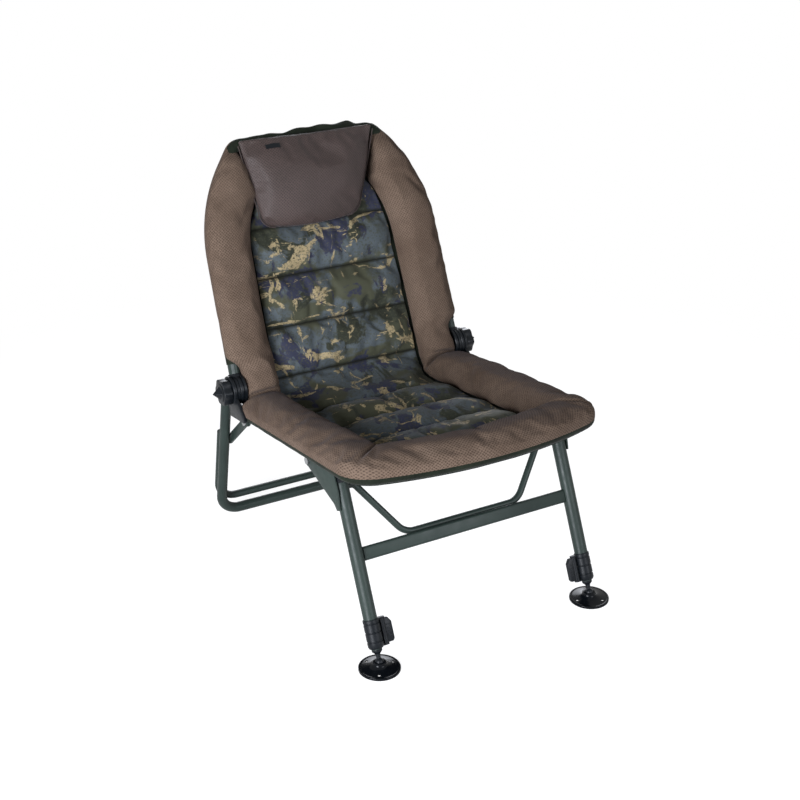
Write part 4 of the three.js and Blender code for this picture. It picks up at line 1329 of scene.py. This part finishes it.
rail_line = seat_line(0, corner_radius, line_steps)
inner_line = seat_line(bolster_inset, inner_corner, line_steps)
stations = [
    ((rail[0], on_seat(rail[1])), (inner[0], on_seat(inner[1])))
    for rail, inner in zip(rail_line, inner_line)
]
rail_last, inner_last = stations[-1]
for k in range(1, side_steps + 1):
    share = 1 - k / side_steps
    stations.append(((rail_last[0], rail_last[1] * share), (inner_last[0], inner_last[1] * share)))
for k in range(1, back_steps + 1):
    height = crease_height + (bolster_end - crease_height) * k / back_steps
    inner = back_half(height, bolster_inset)
    if height > pillow_bottom:
        inner = max(inner, pillow_side(height) + gap)
    rail = back_half(height, 0)
    inner = min(inner, rail - least_width)
    stations.append(((rail, on_back(height)), (inner, on_back(height))))
corner_middle = top_half - top_corner * math.tan(math.pi / 4 - shoulder_turn / 2)
for k in range(1, end_steps + 1):
    turn = shoulder_turn + end_turn * k / end_steps
    arm = Vector((math.cos(turn), math.sin(turn)))
    rail = Vector((corner_middle, on_back(back_length - top_corner))) + arm * top_corner
    stations.append((tuple(rail), tuple(rail - arm * least_width)))
mitre = line_steps[0] + line_steps[1] // 2
lengths = [0]
for here, there in zip(stations, stations[1:]):
    step = Vector(there[0]) + Vector(there[1]) - Vector(here[0]) - Vector(here[1])
    lengths.append(lengths[-1] + step.length / 2)
mitre_length = lengths[mitre]
outwards = []
for before, after in zip([stations[0], *stations], [*stations[1:], stations[-1]]):
    ahead = Vector(after[0]) - Vector(before[0])
    outwards.append(Vector((ahead.y, -ahead.x)).normalized())
bolster_fade = (0.468, 0.05)
lie_flat = 0.060
crease_folds = [
    (0.0, 0.1, 0.034, 0.010),
    (0.030, -0.3, 0.009, 0.006),
    (-0.024, 0.2, 0.006, 0.006),
]
bolster_face = 0.74
over_crown = 0.80


def bolster_crown(along):
    """How high the bolster's crown stands over the slings."""
    if along <= 0:
        return seat_crown
    return seat_crown + (back_crown - seat_crown) * smooth(along / crown_ease)


def bolster_wrap(along):
    """How far round the rail the bolster's mesh reaches."""
    reach = smooth((along - wrap_start) / wrap_ease)
    return seat_wrap + more_wrap * reach


def bolster_place(u, v):
    """A place on the bolster: u goes over the crown, round the rail and back under."""
    count = len(stations) - 1
    index = round((2 * v - 1) * count)
    hand = 1 if index >= 0 else -1
    rail, inner = stations[abs(index)]
    run = lengths[abs(index)]
    width = math.hypot(rail[0] - inner[0], rail[1] - inner[1])
    along = rail[1]
    wrap = bolster_wrap(along)
    beside = smooth((hub_reach - abs(along - on_back(0.0))) / hub_ease)
    edge = wrap_radius + (-hub_clear - wrap_radius) * beside
    puff = 0
    if u <= bolster_face * over_crown:
        turn = math.pi * u / (bolster_face * over_crown)
        puff = max(0, math.sin(turn)) ** 0.62
        lean = math.cos(turn)
        share = 0.5 - 0.5 * math.copysign(abs(lean) ** 0.74, lean) * (1 + 0.06 * puff)
        out = -width + (width + edge) * share
        foot = rail_rise * smooth(share)
        crown = bolster_crown(along)
        crown = rail_rise + 0.012 + (crown - rail_rise - 0.012) * min(1, width / lie_flat)
        crown *= 1 - pinch_share * ridge(along, pinch_broad)
        crown += hump_height * ridge(along - hump_place, hump_broad)
        left = max(0, on_back(bolster_fade[0]) - along)
        crown = foot + (crown - foot) * min(1, 0.35 + left / bolster_fade[1])
        crown -= mitre_deep * ridge(run - mitre_length, mitre_broad)
        for place, slant, depth, breadth in crease_folds:
            crown -= depth * ridge(along - place - slant * (share - 0.5) * width, breadth)
        spot = Vector((hand * 3.0 + share * 1.5, run * 9, 2.0))
        crown += 0.0022 * noise.noise(spot)
        crown += 0.0010 * noise.noise(Vector((share * 6, run * 34, hand * 4.0)))
        rise = foot + (crown - foot) * puff
    elif u <= bolster_face:
        turn = wrap * (u / bolster_face - over_crown) / (1 - over_crown)
        out = edge - wrap_radius * (1 - math.cos(turn))
        rise = rail_rise - wrap_radius * math.sin(turn)
    else:
        share = (u - bolster_face) / (1 - bolster_face)
        inside = rail_radius + gap
        if share <= 0.6:
            turn = -wrap + (math.pi + wrap) * share / 0.6
            out = max(-inside, inside * math.cos(turn) + min(0, edge - inside))
            rise = rail_rise + inside * math.sin(turn)
        else:
            under = (share - 0.6) / 0.4
            out = -inside - (width - inside) * under
            rise = rail_rise * (1 - under) ** 2
    side, place = rail
    if out > 0:
        side += outwards[abs(index)].x * out
        place += outwards[abs(index)].y * out
    else:
        side += (inner[0] - rail[0]) * -out / width
        place += (inner[1] - rail[1]) * -out / width
    if index == 0:
        side = 0
    return cover(place, hand * side, rise)


def bolster_sewn(u, v):
    """1 along the bolster's seams and its mitres, and under it where it lies on the rail."""
    count = len(stations) - 1
    index = abs(round((2 * v - 1) * count))
    if u < 0.02 or u > bolster_face * 0.72 or v in (0, 1) or index == mitre:
        return 1
    return 0


bolster_steps = (44, 2 * (len(stations) - 1))
bolster_mesh = draped(
    "bolster_cover", *bolster_steps, bolster_place, bolster_sewn, wrapped=True, crown=0.3
)
swollen(bolster_mesh, slack=0.02, furthest=0.005)
bolster = finished(
    "bolster",
    refined(bolster_mesh),
    bolster_mesh_cloth,
    None,
    "mesh_cloth",
    "seat_bolster",
    "back_bolster_left",
    "back_bolster_right",
)
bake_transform(bolster)

# Head pillow. A trapezoid of darker, closer air mesh, stuffed hard and sewn down at the top edge
# of the back, so that it hangs over the panel's end between the bolsters.
pillow_cloth = air_mesh("dark_air_mesh", "#342b28", "#3f3431", "#1f1917", 0.2)
pillow_deep = 0.058
pillow_lift = 0.021
pillow_corner = 0.026
pillow_shift = 0.026
pillow_back = 0.024
pillow_face = 0.6
pillow_dip = 0.006


def pillow_place(u, v):
    """A place on the pillow: u crosses its front and comes back behind it."""
    height = pillow_bottom + (pillow_top - pillow_dip - pillow_bottom) * v
    rise = height - pillow_bottom
    half = pillow_side(height)
    if rise < pillow_corner:
        half -= pillow_corner * (1 - math.sqrt(1 - (1 - rise / pillow_corner) ** 2))
    front = u <= pillow_face
    share = 2 * u / pillow_face - 1 if front else 1 - 2 * (u - pillow_face) / (1 - pillow_face)
    drop = pillow_dip * (1 - share**2) * ((1 - v) ** 2 + v**8)
    side = half * share - pillow_shift * (1 - v)
    base = pillow_lift + (pillow_back - pillow_lift) * smooth(1.6 * v - 0.3)
    if not front:
        return cover(on_back(height - drop), side, base + 0.004 * abs(share) ** 6)
    edge = (1 - abs(share) ** 2.8) ** 0.6
    crown = max(0, math.sin(math.pi * (0.04 + 0.92 * v))) ** 0.45
    spot = Vector((side * 16, height * 16, 8.0))
    deep = 0.004 + (pillow_deep - base) * edge * crown
    deep += 0.0022 * noise.noise(spot) * edge
    return cover(on_back(height - drop), side, base + deep)


def pillow_sewn(u, v):
    """1 round the pillow's edge and behind it."""
    return 1 if u >= pillow_face or u < 0.01 or v in (0, 1) else 0


pillow_mesh = draped("pillow_cover", 72, 44, pillow_place, pillow_sewn, wrapped=True, crown=0.3)
swollen(pillow_mesh, slack=0.03, furthest=0.006)
pillow_cover = refined(pillow_mesh)
pillow = finished(
    "head_cushion", pillow_cover, pillow_cloth, "back", "pillow_cloth", "head_pillow"
)
tag_across = (0.095, 0.160)
tag_up = (0.865, 0.925)
tag_grid = draped(
    "tag",
    24,
    12,
    lambda u, v: pillow_place(
        tag_across[0] + (tag_across[1] - tag_across[0]) * u,
        tag_up[0] + (tag_up[1] - tag_up[0]) * v,
    )
    + back_front * 0.008,
)
tag_holder = bpy.data.objects.new("tag", tag_grid)
laid = tag_holder.modifiers.new("laid", "SHRINKWRAP")
laid.target = pillow
laid.wrap_method = "NEAREST_SURFACEPOINT"
laid.wrap_mode = "ABOVE_SURFACE"
laid.offset = 0.0014
thick = tag_holder.modifiers.new("thick", "SOLIDIFY")
thick.thickness = 0.0012
tag = baked("pillow_tag", tag_holder)
finished("pillow_tag", tag, black_nylon, "back", "pillow_cloth")
# Dark cords of the pillow's cloth run down its sides. They are partly piping and partly a dark
# thing standing in for the shade in the gap between the pillow and the bolsters.
gap_shade_piping_radius = 0.0012
for side, sign, edge in (("left", 1, pillow_face), ("right", -1, 0.0)):
    route = [
        pillow_place(edge, k / 60) + back_front * 0.003 + across * (sign * gap_shade_piping_radius)
        for k in range(57)
    ]
    gap_shade_piping = tube_mesh(f"pillow_gap_shade_piping_{side}", route, gap_shade_piping_radius, 8)
    finished(f"pillow_gap_shade_piping_{side}", gap_shade_piping, pillow_cloth, "back", "pillow_cloth")

# Backing. The slings are one dark polyester cloth, stretched between the tubes under the pads,
# and its hems are sewn into sleeves round the tubes, which show as a dark edge all round.
backing_cloth, tree = blank("backing_polyester")
cloth_spot = add(tree, "ShaderNodeUVMap").outputs["UV"]
dust = mottle(tree, cloth_spot, 22, 5)
surface(
    tree,
    {
        "Base Color": two_tone(tree, dust, "#11140f", "#1c2119", 0.3, 0.75),
        "Roughness": 0.65,
        "IOR": 1.5,
        "Specular IOR Level": 0.04,
        "Sheen Weight": 0.05,
        "Sheen Roughness": 0.4,
        "Normal": bumped(tree, yarns(tree, cloth_spot, 1.0, "DIAGONAL"), 0.3, 0.0005),
    },
)

hem_radius = 0.0122
hem_step = 0.006
rail_side = [(frame_half, rail_line[-1][1] * (1 - k / 40)) for k in range(1, 41)]
rail_half_line = [place for place in rail_line + rail_side if place[1] > 0.030]


def seat_half(reach):
    """Half the width of the seat frame at a distance from the hub."""
    middle = seat_length - bow_radius
    centre_side = frame_half - corner_radius
    centre = middle + math.sqrt((bow_radius - corner_radius) ** 2 - centre_side**2)
    if reach <= centre:
        return frame_half
    bow = math.sqrt(max(0, bow_radius**2 - (reach - middle) ** 2))
    over = max(0, corner_radius**2 - (reach - centre) ** 2)
    return min(bow, centre_side + math.sqrt(over)) if over else bow


backing_front = on_seat(seat_length - 0.001)
backing_top = on_back(back_length)
front_share = 0.25
front_reach = 0.06


def backing_place(u, v):
    """A place on the backing: rows lie straight across between the tubes."""
    turn = min(v, front_share) / front_share
    along = backing_front + front_reach * (1 - math.cos(turn * math.pi / 2))
    if v > front_share:
        start = backing_front + front_reach
        along = start + (backing_top - start) * (v - front_share) / (1 - front_share)
    if along < 0:
        half = seat_half(crease_reach - along)
    else:
        half = back_half(along + crease_height, 0)
    half -= 0.010 * ridge(along + 0.010, 0.070)
    side = half * (2 * u - 1)
    return cover(along, side, -0.0015 - sag(along, side))


backing_mesh = draped("backing", 60, 200, backing_place)
sling = finished(
    "backing_sling", backing_mesh, backing_cloth, None, "sling_cloth", "seat_sling", "back_sling"
)
thickness = sling.modifiers.new("thickness", "SOLIDIFY")
thickness.thickness = 0.0012
thickness.offset = 0
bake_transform(sling)


def sleeve(name, route, body, wave=0.0):
    """A hem of cloth drawn round a tube, a little loose and rumpled along it."""
    lengths = run_along(route)
    level = (route[len(route) // 2] - route[0]).cross(route[-1] - route[0]).normalized()

    def place(u, v):
        at = min(round(v * (len(route) - 1)), len(route) - 1)
        here = route[at]
        ahead = (route[min(at + 1, len(route) - 1)] - route[max(at - 1, 0)]).normalized()
        out = ahead.cross(level).normalized()
        turn = 2 * math.pi * u
        arm = out * math.cos(turn) + ahead.cross(out) * math.sin(turn)
        spot = Vector((lengths[at] * 16, math.cos(turn) * 0.8, math.sin(turn) * 0.8))
        loose = 0.0006 * noise.noise(spot * 2)
        top = smooth((0.125 - abs(lengths[at] - lengths[-1] / 2)) / 0.03)
        loose += wave * top * max(0, noise.noise(spot * 1.3) + 0.15)
        return here + arm * (hem_radius + loose)

    mesh = draped(name, 28, len(route) - 1, place, wrapped=True)
    return finished(name, mesh, backing_cloth, body, "sling_cloth")


def even(route, spacing):
    """The same route with points at an even spacing."""
    placed = [route[0]]
    for here, there in zip(route, route[1:]):
        count = max(1, round((there - here).length / spacing))
        placed += [here.lerp(there, (k + 1) / count) for k in range(count)]
    return placed


def seat_point(side, reach, height):
    """A place in the seat's own frame."""
    return hub + across * side + seat_forward * reach + seat_up * height


seat_route = [seat_point(-side, reach, -rail_depth) for side, reach in rail_half_line[::-1]]
seat_route += [seat_point(side, reach, -rail_depth) for side, reach in rail_half_line[1:]]
seat_hem = sleeve("seat_hem", even(seat_route, hem_step), "seat")
hem_foot = 0.050
side_foot = taper_line(hem_foot, 0)
hem_corners = [
    hub + across * side + back_up * height
    for side, height in (
        (side_foot, hem_foot),
        (shoulder_half, shoulder_height),
        (top_half, back_length),
        (-top_half, back_length),
        (-shoulder_half, shoulder_height),
        (-side_foot, hem_foot),
    )
]
hem_bends = [shoulder_radius, top_corner, top_corner, shoulder_radius]
back_hem = sleeve("back_hem", even(bent(hem_corners, hem_bends), hem_step), "back", 0.012)

low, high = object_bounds()
{"cad": [list(cad_low), list(cad_high)], "visual": [list(low), list(high)]}
